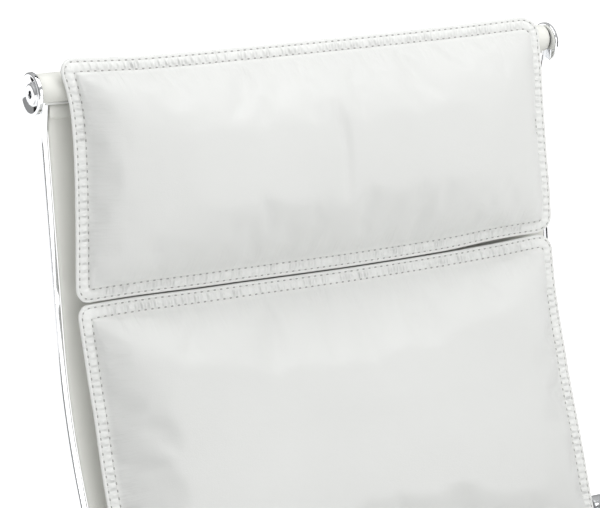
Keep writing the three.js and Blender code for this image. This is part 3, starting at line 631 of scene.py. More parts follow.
def pad_grid(start, end):
    """A pad laid flat: x across, y down its length and z off the sling. Returns its points and faces."""
    across = edge_lines(2 * PAD_HALF, 0.0054) - PAD_HALF
    along = edge_lines(end - start, 0.0054) + start
    x, run = np.meshgrid(across, along)
    dx, dr = from_edges(x, run, start, end)
    edge = np.minimum(dx, dr)
    half = (end - start) / 2 - ROW_INNER
    puff = SEAM_PUFF * both(dx, dr, 0.030, 0.030, 2.3)
    puff += CROWN_PUFF * both(dx, dr, 0.150, min(half, 0.110), 1.9)
    front = FLANGE_OFF + flange_front(edge) + puff
    hollow = both(dx, dr, 0.024, 0.024, 2.0)
    rear = FLANGE_OFF - FLANGE_THICK * np.clip(edge / FLANGE_THICK, 0, 1) ** 0.5 - 0.0135 * hollow
    # The back of a pad stays clear of the sling, and further off near a roll.
    roll = np.minimum(np.abs(run), PROFILE_LENGTH - run)
    clear = 0.0146 - 0.0130 * np.clip((roll - 0.018) / 0.012, 0, 1)
    floor = np.minimum(clear, FLANGE_OFF - FLANGE_THICK)
    rear = np.where(hollow > 0.02, np.maximum(rear, floor), rear)
    rows, columns = x.shape
    fall = droop(x, run, start, end)
    flat = [np.stack([x, run, side - fall], -1).reshape(-1, 3) for side in (front, rear)]
    verts = np.concatenate(flat)
    shift = rows * columns
    faces = []
    for r in range(rows - 1):
        for c in range(columns - 1):
            a = r * columns + c
            quad = (a, a + 1, a + columns + 1, a + columns)
            faces.append(quad)
            faces.append(tuple(shift + i for i in reversed(quad)))
    border = [(0, c) for c in range(columns)] + [(r, columns - 1) for r in range(1, rows)]
    border += [(rows - 1, c) for c in range(columns - 2, -1, -1)] + [(r, 0) for r in range(rows - 2, 0, -1)]
    # The outermost front and rear points are one line of points.
    shared = {shift + r * columns + c: r * columns + c for r, c in border}
    faces = [tuple(shared.get(i, i) for i in face) for face in faces]
    used = sorted({i for face in faces for i in face})
    index = {old: new for new, old in enumerate(used)}
    faces = [tuple(index[i] for i in face) for face in faces]
    free = np.zeros(len(verts), bool)
    free[:shift] = (edge > ROW_INNER + 0.0004).reshape(-1)
    return verts[used], faces, free[used]


def edge_shift(name, side, along):
    """How far outward an edge lies at points along it, in metres, with its bends softened."""
    table = np.array(EDGES[name][side], float) * MM
    total = 0
    for reach in (-0.012, -0.006, 0, 0.006, 0.012):
        total = total + np.interp(along + reach, table[:, 0], table[:, 1])
    return total / 5


def shaped(name, x, run, start, end):
    """Moves flat points so that a pad's edges and corners run as the real ones do."""
    radii = np.array(CORNERS[name]) * MM
    centre = (start + end) / 2
    upper, left = run < centre, x > 0
    radius = np.where(upper, np.where(left, radii[1], radii[0]), np.where(left, radii[3], radii[2]))
    dx, dr = from_edges(x, run, start, end)
    a, b = np.clip(radius - dx, 0, None), np.clip(radius - dr, 0, None)
    scale = np.where((a > 0) & (b > 0), np.maximum(a, b) / np.maximum(np.hypot(a, b), 1e-9), 1.0)
    new_x = np.where(scale < 1, np.sign(x) * (PAD_HALF - radius + a * scale), x)
    new_run = np.where(scale < 1, np.where(upper, start + radius - b * scale, end - radius + b * scale), run)
    u, v = new_x / PAD_HALF, (new_run - centre) / ((end - start) / 2)
    move_x = edge_shift(name, "left", new_run) * np.clip((1 + u) / 2, 0, 1) ** 3
    move_x -= edge_shift(name, "right", new_run) * np.clip((1 - u) / 2, 0, 1) ** 3
    move_r = edge_shift(name, "bottom", new_x) * np.clip((1 + v) / 2, 0, 1) ** 3
    move_r -= edge_shift(name, "top", new_x) * np.clip((1 - v) / 2, 0, 1) ** 3
    return new_x + move_x, new_run + move_r


def pad_place(name, flat, start, end):
    """Points of a flat pad, in their place on the chair."""
    x, run = shaped(name, flat[:, 0], flat[:, 1], start, end)
    return on_profile(x, run, flat[:, 2])


def inflate(objects, frames):
    """Blows the pads up as cloth. The points of each object's group named held stay where they are."""
    for obj in objects:
        cloth = obj.modifiers.new("stuffing", "CLOTH")
        s = cloth.settings
        s.quality = 5
        s.mass = 0.35
        s.tension_stiffness = 22
        s.compression_stiffness = 22
        s.shear_stiffness = 9
        s.bending_stiffness = 1.2
        s.tension_damping = 12
        s.air_damping = 2.5
        s.use_pressure = True
        s.uniform_pressure_force = 4.0
        s.shrink_min = -0.02
        s.effector_weights.gravity = 0
        s.vertex_group_mass = "held"
        s.pin_stiffness = 1.0
        cloth.collision_settings.use_collision = False
        cloth.point_cache.frame_start = 1
        cloth.point_cache.frame_end = frames
    for number in range(1, frames + 1):
        bpy.context.scene.frame_set(number)


def capped(before, after, free, reach):
    """Points moved from before towards after, the free ones only, by no more than the reach."""
    move = after - before
    length = np.linalg.norm(move, axis=1)
    keep = np.minimum(1.0, reach / np.maximum(length, 1e-9))
    return before + move * (keep * free)[:, None]


def ripples(flat, start, end, seed):
    """Fine puckers over the flange and the first part of the puff, running square to each seam."""
    x, run = flat[:, 0], flat[:, 1]
    dx, dr = from_edges(x, run, start, end)
    wave = random.Random(seed)
    lift = np.zeros(len(flat))
    for edge, other, along, amount in ((dx, dr, run, 1.0), (dr, dx, x, 0.55)):
        here = (edge < other + 0.004) * 1.0
        over_flange = np.exp(-(((edge - 0.0074) / 0.0034) ** 2)) * here
        inside = np.clip(edge - FLANGE, 0, None)
        fade = np.exp(-inside / 0.017) * np.clip(inside / 0.004, 0, 1) * here
        for length, height in ((0.0136, 0.00014), (0.0231, 0.00026), (0.041, 0.00034), (0.073, 0.00032)):
            phase = wave.uniform(0, 2 * math.pi)
            drift = 1.3 * np.sin(2 * math.pi * along / 0.31 + phase)
            swing = np.sin(2 * math.pi * along / length + phase + drift)
            lift += amount * height * swing * (0.45 * over_flange + fade)
        lift += amount * 0.00030 * np.cos(2 * math.pi * along / STITCH_PITCH) * over_flange
    return lift


def swollen(covers, frames, reach, levels):
    """Blows up (name, points, faces, free) covers together. Yields each object with its smooth points."""
    objects = []
    for name, verts, faces, free in covers:
        obj = new_object(name, verts, faces)
        obj.vertex_groups.new(name="held").add([int(i) for i in np.nonzero(~free)[0]], 1.0, "REPLACE")
        objects.append(obj)
    results = [cover[1] for cover in covers]
    inflate(objects, frames)
    view = bpy.context.evaluated_depsgraph_get()
    after = [points_of(obj.evaluated_get(view).data) for obj in objects]
    bpy.context.scene.frame_set(1)
    results = [capped(cover[1], points, cover[3], reach) for cover, points in zip(covers, after)]
    for obj, points in zip(objects, results):
        obj.modifiers.clear()
        obj.vertex_groups.clear()
        set_points(obj.data, points)
        obj.data.update()
        fine = obj.modifiers.new("fine", "SUBSURF")
        fine.levels = fine.render_levels = levels
        freeze(obj)
        yield obj, points_of(obj.data)


def make_pads():
    """The four leather pads, blown up together as cloth."""
    spans = [(start * MM, end * MM) for start, end in PADS.values()]
    covers = [(f"{name}_cover", *pad_grid(*span)) for name, span in zip(PADS, spans)]
    for seed, (name, span, (obj, flat)) in enumerate(zip(PADS, spans, swollen(covers, 20, PAD_SWELL, 1))):
        finish_pad(name, obj, flat, *span, seed)


def finish_pad(name, obj, flat, start, end, seed):
    """Gives a smooth flat pad its puckers, bends it to the chair and sews its seams."""
    front = flat[:, 2] > FLANGE_OFF - 0.0004 - droop(flat[:, 0], flat[:, 1], start, end)
    flat[:, 2] += ripples(flat, start, end, seed) * front
    dx, dr = from_edges(flat[:, 0], flat[:, 1], start, end)
    fields = {
        "seam_edge": np.minimum(dx, dr),
        "seam_along": np.where(dx < dr, flat[:, 1], flat[:, 0]),
        "off_corner": np.clip(np.abs(dx - dr) / 0.016, 0, 1) ** 2,
    }
    for title, values in fields.items():
        attribute = obj.data.attributes.new(title, "FLOAT", "POINT")
        attribute.data.foreach_set("value", values.astype(np.float32))
    set_points(obj.data, pad_place(name, flat, start, end))
    dress_pad(obj, name, "pad_leather")
    pad_seams(name, obj, start, end)


def dress_pad(obj, node, material):
    """Smooth shading and leather for a finished pad, which rides on the seat frame."""
    obj.data.materials.clear()
    obj.data.materials.append(MATERIALS[material])
    b = bmesh.new()
    b.from_mesh(obj.data)
    bmesh.ops.recalc_face_normals(b, faces=b.faces)
    for face in b.faces:
        face.smooth = True
    b.to_mesh(obj.data)
    b.free()
    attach(obj, "seat_frame")
    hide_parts(node)


def onto(obj, points, normals):
    """Points dropped on to an object's surface along their normals."""
    tree = BVHTree.FromPolygons([v.co for v in obj.data.vertices], [p.vertices for p in obj.data.polygons])
    dropped = []
    for point, normal in zip(points, normals):
        hit = tree.ray_cast(Vector(point) + Vector(normal) * 0.02, -Vector(normal), 0.04)[0]
        dropped.append(tuple(hit) if hit else tuple(point))
    return np.array(dropped)


def seam_route(inset, start, end):
    """A closed line at an even distance in from a pad's outline, as flat (x, run) points."""
    x0, x1, r0, r1 = inset - PAD_HALF, PAD_HALF - inset, start + inset, end - inset
    corners = [(x0, r0), (x1, r0), (x1, r1), (x0, r1), (x0, r0)]
    points = []
    for (ax, ar), (bx, br) in zip(corners, corners[1:]):
        count = int(math.hypot(bx - ax, br - ar) / 0.001)
        points += [(ax + (bx - ax) * k / count, ar + (br - ar) * k / count) for k in range(count)]
    return np.array(points)


def stitch_shape(length, width, height):
    """One stitch: a short thread, fat in the middle, along x."""
    rings = [(-0.5, 0.35), (-0.36, 0.85), (0.0, 1.0), (0.36, 0.85), (0.5, 0.35)]
    sides = 6
    verts = []
    for along, size in rings:
        for k in range(sides):
            a = 2 * math.pi * k / sides
            verts.append((along * length, size * width / 2 * math.cos(a), size * height / 2 * math.sin(a)))
    return np.array(verts), tube_faces(len(rings), sides)


def stitches_along(points, normals, size, shift=0.0, wander=0.0, closed=True):
    """Stitches of one (length, width, height) at an even pitch along a 3-D line, just proud of it."""
    points, normals = np.asarray(points), np.asarray(normals)
    if closed:
        points, normals = np.vstack([points, points[:1]]), np.vstack([normals, normals[:1]])
    run = np.concatenate([[0], np.cumsum(np.linalg.norm(np.diff(points, axis=0), axis=1))])
    count = round(run[-1] / STITCH_PITCH)
    step = run[-1] / count
    shape_verts, shape_faces = stitch_shape(*size)

    def at(distance, values):
        return np.array([np.interp(distance, run, values[:, i]) for i in range(3)])

    parts = []
    for k in range(count):
        middle_at = min((k + 0.5 + shift) * step, run[-1] - 0.0012)
        along = at(middle_at + 0.001, points) - at(middle_at - 0.001, points)
        along /= np.linalg.norm(along)
        side = np.cross(at(middle_at, normals), along)
        side /= np.linalg.norm(side)
        up = np.cross(along, side)
        slant = along + side * wander * (rng.random() - 0.5)
        place = at(middle_at, points) + up * 0.0001
        parts.append(((place + shape_verts @ np.stack([slant, side, up])).tolist(), shape_faces))
    return join_lists(parts)


def pad_seams(name, pad, start, end):
    """Two rows of thread round the pad, and dark marks of painted shade for the needle holes between the
    stitches.
    """
    threads, holes = [], []
    for inset in (ROW_OUTER, ROW_INNER - 0.0003):
        flat = seam_route(inset, start, end)
        line = pad_place(name, np.column_stack([flat, np.full(len(flat), FLANGE_OFF)]), start, end)
        lean = np.interp(flat[:, 1], RUNS, PROFILE_LEAN)
        normals = np.stack([np.zeros(len(flat)), -np.cos(lean), np.sin(lean)], -1)
        line = onto(pad, line, normals)
        threads.append(stitches_along(line, normals, STITCH, wander=0.1))
        holes.append(stitches_along(line, normals, NEEDLE_HOLE, shift=0.5))
    sewn_pieces(name, threads, holes)


def sewn_pieces(name, threads, holes):
    # The needle-hole marks are dark grey painted shade, not a dark thread.
    for title, parts, material in (("stitching", threads, "thread"), ("needle_hole_shade_marks", holes, "needle_hole")):
        sewn = join_lists(parts)
        piece(f"{name}_{title}", *sewn, "seat_frame", "pad_leather", material=material, smooth_angle=60)


make_pads()

# ---- sling ----------------------------------------------------------------------------------

SLING_HALF = 0.2415
ROLL_HALF = 0.2506
SLING_THICK = 0.0018
ROLL_MIDDLE = 0.0115
SEAM_RUN = 0.0088
HEM_RUN = 0.0206
HEM_OFF = 0.0022
# Where the sling starts round its roll, how far it turns and where it is at its widest, in degrees.
LAP_START, LAP_TURN, LAP_STEP = -104, -330, -6
LAP_WIDE = (-424, -150)
# Outline of a hem in mm: off the sling, and down from the cap's axis.
HEM_SECTION = [
    (0.7, 8.9), (2.2, 9.0), (3.3, 10.2), (3.7, 12.2), (3.7, 14.6), (3.3, 17.0), (2.6, 19.2), (1.8, 20.5),
    (0.7, 20.9),
]


def local(end, off, beyond):
    """A point given from a cap's axis: off towards the sitter, and beyond the sling's end. (y, z)"""
    run = 0.0 if end == "top" else PROFILE_LENGTH
    centre = TOP_ROLL if end == "top" else FRONT_ROLL
    lean = lean_at(run)
    way = 1 if end == "top" else -1
    y = centre.y - off * math.cos(lean) + way * beyond * math.sin(lean)
    z = centre.z + off * math.sin(lean) + way * beyond * math.cos(lean)
    return np.array([y, z])


def lap_route(end):
    """The sling's centre line round one roll, from its hem behind the sling to the seam in front."""
    path = [(-HEM_OFF, -run, SLING_HALF) for run in (HEM_RUN, 0.015, 0.0105)]
    for degrees in range(LAP_START, LAP_START + LAP_TURN - 1, LAP_STEP):
        a = math.radians(degrees)
        half = ROLL_HALF if LAP_WIDE[0] < degrees < LAP_WIDE[1] else SLING_HALF
        path.append((ROLL_MIDDLE * math.cos(a), ROLL_BEYOND + ROLL_MIDDLE * math.sin(a), half))
    path += [(0.0016, -0.0088, SLING_HALF), (0.0005, -0.0102, SLING_HALF), (0.0, -0.0125, SLING_HALF)]
    return [(*local(end, off, beyond), half) for off, beyond, half in path]


def sheet_route():
    """The sling's whole centre line in (y, z), with its half width at each point."""
    runs = np.arange(0.0165, PROFILE_LENGTH - 0.0160, 0.004)
    middle_part = [(*on_profile(0.0, run, 0.0)[1:], SLING_HALF) for run in runs]
    route = lap_route("top") + middle_part + list(reversed(lap_route("front")))
    return np.array(route)


def build_sling():
    """One sheet from roll to roll, lapped round each cross tube and sewn to itself."""
    route = sheet_route()
    places, halves = route[:, :2], route[:, 2]
    ahead = np.gradient(places, axis=0)
    ahead /= np.linalg.norm(ahead, axis=1)[:, None]
    outs = np.stack([ahead[:, 1], -ahead[:, 0]], -1)
    near = np.array([0, 0.6, 1.4, 2.6, 4.2, 6.0, 9.0, 13.0]) * MM
    side = np.concatenate([near, np.linspace(0.018, SLING_HALF, 28)[:-1]])
    side = np.concatenate([side, [SLING_HALF], side[::-1]])
    sign = np.concatenate([-np.ones(len(side) // 2), [0], np.ones(len(side) // 2)])
    tuck = -0.0014 * np.exp(-side / 0.0016)
    thick = SLING_THICK / 2 * np.clip(side / 0.0006, 0.15, 1) ** 0.5
    rows, columns = len(places), len(side)
    front, rear = [], []
    for place, out, half in zip(places, outs, halves):
        x = np.where(sign == 0, 0, sign * (half - side * half / SLING_HALF))
        for c in range(columns):
            front.append((x[c], *(place + out * (tuck[c] + thick[c]))))
            rear.append((x[c], *(place + out * (tuck[c] - thick[c]))))
    shift = rows * columns
    faces = []
    for r in range(rows - 1):
        for c in range(columns - 1):
            a = r * columns + c
            faces.append((a, a + 1, a + columns + 1, a + columns))
            faces.append((shift + a, shift + a + columns, shift + a + columns + 1, shift + a + 1))
        for c in (0, columns - 1):
            a = r * columns + c
            faces.append((a, a + columns, shift + a + columns, shift + a))
    for r in (0, rows - 1):
        for c in range(columns - 1):
            a = r * columns + c
            faces.append((a, a + 1, shift + a + 1, shift + a))
    obj = piece("sling_sheet", front + rear, faces, "seat_frame", "sling_leather", ["sling"], smooth_angle=60)
    length = float(np.sum(np.linalg.norm(np.diff(places, axis=0), axis=1)))


def strip_across(name, end, section, half, material="sling_leather"):
    """A strip across the sling. Its section is (off, run from the cap's axis) points."""
    spots = [local(end, off, -run) for off, run in section]
    inner = np.linspace(-half + 0.004, half - 0.004, 50)
    xs = [-half, -half + 0.0005, *inner, half - 0.0005, half]
    middle_spot = np.mean(spots, axis=0)
    verts = []
    for k, x in enumerate(xs):
        size = 0.75 if k in (0, len(xs) - 1) else 1.0
        verts += [(x, *(middle_spot + (spot - middle_spot) * size)) for spot in spots]
    faces = tube_faces(len(xs), len(section))
    piece(name, verts, faces, "seat_frame", "sling_leather", material=material, smooth_angle=50)


def circle(a, b, radius, count):
    """Points of a round outline about (a, b)."""
    angles = [2 * math.pi * k / count for k in range(count)]
    return [(a + radius * math.cos(angle), b + radius * math.sin(angle)) for angle in angles]


build_sling()
for end in ("top", "front"):
    for face, way in (("front", 1), ("rear", -1)):
        hem = [(way * off * MM - (HEM_OFF if way < 0 else 0), run * MM) for off, run in HEM_SECTION]
        strip_across(f"{end}_hem_{face}", end, hem, SLING_HALF - 0.0006)
        welt = circle(way * 0.0052, SEAM_RUN - 0.0003, 0.0010, 10)
        strip_across(f"{end}_welt_{face}", end, welt, SLING_HALF + 0.004, "plain_leather")

# ---- rails, cross tubes and end caps --------------------------------------------------------

RAIL_INNER = 0.242
RAIL_WIDTH = 0.006
RAIL_FRONT = -0.001
RAIL_REAR = 0.019
EYE = 0.0075
CAP_RADIUS = 0.0175
CAP_FACE = 0.0075
CAP_BACK = 0.0033


def rail_outline():
    """Side outline in (y, z), with a round eye at each end."""
    runs = np.concatenate([[0.034], np.arange(0.04, 1.130, 0.006), [1.136]])
    near = on_profile(0.0, runs, np.full(len(runs), RAIL_FRONT))[:, 1:]
    far = on_profile(0.0, runs, np.full(len(runs), -RAIL_REAR))[::-1, 1:]

    def eye(centre, start):
        angles = [start + math.pi * k / 20 for k in range(21)]
        return [(centre.y + EYE * math.cos(a), centre.z + EYE * math.sin(a)) for a in angles]

    top, front = eye(TOP_ROLL, -lean_at(0)), eye(FRONT_ROLL, math.pi - lean_at(PROFILE_LENGTH))
    return [*top, *map(tuple, near), *front, *map(tuple, far)]


def side_extruded(outline, from_x, to_x):
    """A prism of a (y, z) outline between two x."""
    verts, faces = extruded(outline, to_x - from_x)
    return [(from_x + c, a, b) for a, b, c in verts], faces


for side, sign in SIDES:
    low, high = sorted((sign * RAIL_INNER, sign * (RAIL_INNER + RAIL_WIDTH)))
    piece(f"side_rail_{side}", *side_extruded(rail_outline(), low, high), "seat_frame", "chrome",
          [f"rail_{side}"], bevel=0.0013, segments=3)


def end_cap(name, node, roll, sign):
    """Turned and polished cap: a dished face round a raised centre with a key socket."""
    r, t, back = CAP_RADIUS, CAP_FACE, CAP_BACK
    profile = [
        (0, -0.012), (0.0046, -0.012), (0.0046, 0), (0.0070, 0), (0.0070, back), (r - 0.0006, back),
        (r, back + 0.0006), (r, t - 0.0010), (r - 0.0012, t), (r - 0.0024, t - 0.0001),
        (0.0102, t - 0.0016), (0.0096, t - 0.0021),
        (0.0090, t - 0.0016), (0.0084, t - 0.0004), (0.0074, t), (0.0034, t - 0.0001), (0.0030, t - 0.0006),
        (0.0030, t - 0.0055), (0, t - 0.0055),
    ]
    place = Matrix.Translation((sign * (RAIL_INNER + RAIL_WIDTH + 0.0003), roll.y, roll.z)) @ X_OUT[sign]
    part = moved(lathe(profile, 72, 0.0004), place)
    piece(name, *part, "seat_frame", "chrome", [node], smooth_angle=50)


for roll_name, roll in (("top", TOP_ROLL), ("front", FRONT_ROLL)):
    for side, sign in SIDES:
        end_cap(f"{roll_name}_cap_{side}", f"{roll_name}_end_cap_{side}", roll, sign)

# ---- turned and refined parts ---------------------------------------------------------------

AXLE = middle("tilt_axle")
BOLT = middle("tension_bolt")


def mm(points):
    return [(a * MM, b * MM) for a, b in points]


def turned_piece(name, profile, body, slot, nodes=(), place=Matrix(), segments=64, rounding=0.6):
    """A lathe-turned piece. The profile is (radius, height) points in mm."""
    part = moved(lathe(mm(profile), segments, rounding * MM), place)
    piece(name, *part, body, slot, nodes, smooth_angle=42)


def refined(name, node, body, slot, bevel):
    """A CAD node's shape with its facets merged, its edges rounded and its flats smooth-shaded."""
    mesh = frame["nodes"][node].data.copy()
    b = bmesh.new()
    b.from_mesh(mesh)
    bmesh.ops.remove_doubles(b, verts=b.verts, dist=0.00001)
    bmesh.ops.dissolve_limit(b, angle_limit=math.radians(0.8), verts=b.verts, edges=b.edges)
    b.to_mesh(mesh)
    b.free()
    mesh.materials.clear()
    finished(placed_object(name, mesh), body, slot, [node], bevel=bevel)


def screw_head(radius, height, socket, segments=40):
    """A cap head with a rounded rim and a hexagonal key socket, in mm along +Z from 0."""
    depth = height * 0.55
    rim = rounded([(radius, 0), (radius, height), (socket * 1.25, height)], 0.8)
    rows = [(r, z, 0) for r, z in [(0, 0)] + rim]
    rows += [(socket, height, 1), (socket, height - depth, 1), (0, height - depth, 1)]
    verts, loops = [], []
    for r, z, hexed in rows:
        loop = []
        for k in range(segments):
            a = 2 * math.pi * k / segments
            turn = (a + math.pi / 6) % (math.pi / 3) - math.pi / 6
            reach = r / math.cos(turn) if hexed else r
            loop.append(len(verts))
            verts.append((reach * math.cos(a) * MM, reach * math.sin(a) * MM, z * MM))
        loops.append(loop)
    faces = []
    for low, high in zip(loops, loops[1:]):
        for k in range(segments):
            faces.append((low[k], low[(k + 1) % segments], high[(k + 1) % segments], high[k]))
    return weld(verts, faces)


def weld(verts, faces):
    """Merges points that lie together and drops what collapses."""
    seen, index = {}, []
    for v in verts:
        key = tuple(round(c * 1e6) for c in v)
        index.append(seen.setdefault(key, len(seen)))
    kept = [None] * len(seen)
    for v, i in zip(verts, index):
        kept[i] = tuple(v)
    out = []
    for face in faces:
        corners = list(dict.fromkeys(index[i] for i in face))
        if len(corners) >= 3:
            out.append(tuple(corners))
    return kept, out


def fluted(profile, flutes, depth, segments=144):
    """A turned knob whose widest part is cut with even finger flutes. The profile is in mm."""
    widest = max(r for r, _ in profile)
    verts, faces = lathe(mm(profile), segments, 0.9 * MM)
    cut = []
    for x, y, z in verts:
        r = math.hypot(x, y)
        share = max(0.0, (r / MM - 0.72 * widest) / (0.28 * widest))
        a = math.atan2(y, x)
        wave = (0.5 - 0.5 * math.cos(flutes * a)) ** 2
        scale = 1 - share * depth * MM * wave / max(r, 1e-6)
        cut.append((x * scale, y * scale, z))
    return cut, faces


# ---- arms -----------------------------------------------------------------------------------

ARM_INNER = 0.2525
ARM_WIDTH = 0.038
ARM_THICK = 0.009
ARM_MIDDLE = ARM_INNER + ARM_WIDTH / 2
ARM_PAD_LENGTH = 0.230
ARM_PAD_SWELL = 0.0035
ARM_REAR_RUN = 0.424
ARM_FOOT_RUN = 0.985
ARM_BEND = 0.060
ARM_STITCH = (0.0038, 0.0009, 0.0009)
# Size of the dark mark of painted shade for each needle hole on an arm sleeve.
ARM_NEEDLE_HOLE = (0.0018, 0.0011, 0.0006)


def arm_route():
    """Centre line of the left arm bar in (y, z), and where its straight top begins."""
    rear = Vector(on_profile(0, ARM_REAR_RUN, -0.008)[1:])
    foot = Vector(on_profile(0, ARM_FOOT_RUN, -0.008)[1:])
    corner = Vector((foot.x - 0.036, rear.y + 0.012))
    back, down = (rear - corner).normalized(), (foot - corner).normalized()
    start, end = corner + down * ARM_BEND, corner + back * ARM_BEND
    share = np.linspace(0, 1, 25).tolist()
    bend = [(1 - t) ** 2 * start + 2 * t * (1 - t) * corner + t * t * end for t in share]
    leg = [foot.lerp(start, t) for t in (0, 0.01, 0.2, 0.4, 0.6, 0.8)]
    top = [end.lerp(rear, t) for t in (0.1, 0.3, 0.5, 0.7, 0.9, 0.99, 1)]
    return leg + bend + top, end, rear


def arm_bar(sign, side):
    """One bar from the seat to the back, with a boss and a washer where each end meets the rail."""
    route, _, rear = arm_route()
    section = oval(ARM_WIDTH / 2, ARM_THICK / 2, 7, 56)
    centres, ups = [], []
    for i, point in enumerate(route):
        ahead = (route[min(len(route) - 1, i + 1)] - route[max(0, i - 1)]).normalized()
        centres.append((sign * ARM_MIDDLE, point.x, point.y))
        ups.append((0, -ahead.y, ahead.x))
    bar = sweep(section, centres, [(1, 0, 0)] * len(route), ups)
    piece(f"arm_bar_{side}", *bar, "seat_frame", "polished_aluminium", [f"arm_{side}"], smooth_angle=50)
    boss = [(0, 0.5), (7.4, 0.5), (9, 1.4), (9, 14.6), (7.6, 16.2), (0, 16.2)]
    washer = [(0, 0), (10.4, 0), (10.4, 1.3), (0, 1.3)]
    for end, spot in (("foot", route[0]), ("rear", rear)):
        place = Matrix.Translation((sign * (RAIL_INNER + RAIL_WIDTH + 0.0001), spot.x, spot.y)) @ X_OUT[sign]
        turned_piece(f"arm_boss_{end}_{side}", boss, "seat_frame", "polished_aluminium", place=place)
        turned_piece(f"arm_washer_{end}_{side}", washer, "seat_frame", "steel", place=place, rounding=0.3)


def arm_pad_cover():
    """The sleeve laid flat: x across the bar, y along it, z up. Returns points, faces and what may swell."""
    half, low, top = 0.0245, -0.0086, 0.0150
    ends = [(0.0, 0.60), (0.0006, 0.74), (0.0020, 0.86), (0.0044, 0.95), (0.0075, 0.99)]
    along = [y for y, _ in ends] + list(np.linspace(0.0105, ARM_PAD_LENGTH - 0.0105, 36))
    along += [ARM_PAD_LENGTH - y for y, _ in reversed(ends)]
    sizes = [k for _, k in ends] + [1.0] * 36 + [k for _, k in reversed(ends)]
    count = 44
    verts, free = [], []
    for y, size in zip(along, sizes):
        for k in range(count):
            a = 2 * math.pi * k / count
            c, s = math.cos(a), math.sin(a)
            x = half * math.copysign(abs(c) ** 0.62, c)
            z = (top if s > 0 else -low) * math.copysign(abs(s) ** 0.55, s)
            verts.append((x * size, y - ARM_PAD_LENGTH / 2, z * size))
            seam = abs(z) < 0.0022 or min(y, ARM_PAD_LENGTH - y) < 0.011
            free.append(not seam and z > 0)
    return np.array(verts), tube_faces(len(along), count), np.array(free)


def arm_pad_place(sign):
    """Moves a flat sleeve on to the arm bar's straight top."""
    _, bend_end, rear = arm_route()
    ahead = (rear - bend_end).normalized()
    centre = bend_end + ahead * (ARM_PAD_LENGTH / 2 + 0.022)
    turn = Matrix(((sign, 0, 0), (0, ahead.x, -ahead.y), (0, ahead.y, ahead.x))).to_4x4()
    return Matrix.Translation((sign * ARM_MIDDLE, centre.x, centre.y)) @ turn


def arm_pad_skin(flat, seed):
    """Adds the seam valleys and the pulled creases of the sleeve to fine flat points."""
    x, y, z = flat.T
    ends = ARM_PAD_LENGTH / 2 - np.abs(y)
    valley = 0.0013 * dip(z, 0.0, 0.0010) + 0.0012 * dip(ends, 0.0110, 0.0011)
    wave = random.Random(seed)
    crease = np.zeros(len(flat))
    for length in (0.011, 0.019, 0.034):
        phase = wave.uniform(0, 6.3)
        crease += 0.00018 * np.sin(2 * math.pi * y / length + phase) * np.exp(-np.abs(z) / 0.007)
        crease += 0.00022 * np.sin(2 * math.pi * x / length + phase) * np.exp(-np.abs(ends - 0.016) / 0.008)
    reach = np.maximum(np.hypot(x, z), 1e-6)
    move = (crease - valley) / reach
    return np.stack([x * (1 + move), y, z * (1 + move)], -1)


def arm_pad_seams(name, pad, place):
    """Stitches beside the side seams and across both ends, with dark marks of painted shade for the needle
    holes between them.
    """
    threads, holes = [], []
    half = ARM_PAD_LENGTH / 2
    reach = np.linspace(-half + 0.013, half - 0.013, 160)
    lines = []
    for side in (-1, 1):
        for height in (0.0022, -0.0022):
            lines.append([((side * 0.04, y, height), (side, 0, 0)) for y in reach])
    for end in (-1, 1):
        for inset in (0.0090, 0.0130):
            spots = np.linspace(-0.0225, 0.0225, 60)
            lines.append([((x, end * (half - inset), 0.03), (0, 0, 1)) for x in spots])
    for line in lines:
        points = [place @ Vector(p) for p, _ in line]
        normals = [place.to_3x3() @ Vector(n) for _, n in line]
        line_on_pad = onto(pad, [p - n * 0.018 for p, n in zip(points, normals)], normals)
        for group, size, shift in ((threads, ARM_STITCH, 0.0), (holes, ARM_NEEDLE_HOLE, 0.5)):
            group.append(stitches_along(line_on_pad, normals, size, shift, 0.1, closed=False))
    sewn_pieces(name, threads, holes)


def arm_pads():
    covers = [(f"arm_sleeve_{side}", *arm_pad_cover()) for side, _ in SIDES]
    for seed, ((side, sign), (obj, smooth)) in enumerate(zip(SIDES, swollen(covers, 14, ARM_PAD_SWELL, 2))):
        place = arm_pad_place(sign)
        flat = arm_pad_skin(smooth, 40 + seed)
        set_points(obj.data, np.array([place @ Vector(v) for v in flat]))
        dress_pad(obj, f"arm_pad_{side}", "plain_leather")
        arm_pad_seams(f"arm_pad_{side}", obj, place)


for side, sign in SIDES:
    arm_bar(sign, side)
arm_pads()

# ---- spreaders ------------------------------------------------------------------------------

SPREADER_HALF = RAIL_INNER - 0.0003
SPREADER_SPREAD = [-1, -0.9996, -0.9988, *np.linspace(-0.997, 0.997, 81).tolist(), 0.9988, 0.9996, 1]
# The last two sections at each end are drawn in a little, which rounds the bar's ends.
END_SIZES = [0.93, 0.98, *[1.0] * (len(SPREADER_SPREAD) - 4), 0.98, 0.93]
PLATE_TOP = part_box("tilt_plate")[1].z + 0.0003


def barred(name, node, centres, section, side, up):
    """A bar across the chair, its section set on the same two directions all along."""
    verts, faces = sweep(section, centres, [side] * len(centres), [up] * len(centres))
    n = len(section)
    for r, size in enumerate(END_SIZES):
        centre = Vector(centres[r])
        for k in range(n):
            verts[r * n + k] = centre + (verts[r * n + k] - centre) * size
    piece(name, verts, faces, "seat_frame", "polished_aluminium", [node], smooth_angle=50)


def back_bar():
    """The spreader behind the back, bowed away from the sling."""
    lean = lean_at(ARM_REAR_RUN)
    out, up = Vector((0, -math.cos(lean), math.sin(lean))), Vector((0, math.sin(lean), math.cos(lean)))
    centre = Vector(on_profile(0, ARM_REAR_RUN, 0))
    centres = []
    for t in SPREADER_SPREAD:
        behind = 0.0095 + 0.024 * (1 - t ** 4)
        centres.append(Vector((t * SPREADER_HALF, 0, 0)) + centre - out * behind)
    barred("back_bar", "back_spreader", centres, oval(0.0055, 0.015, 4.5, 48), out, up)


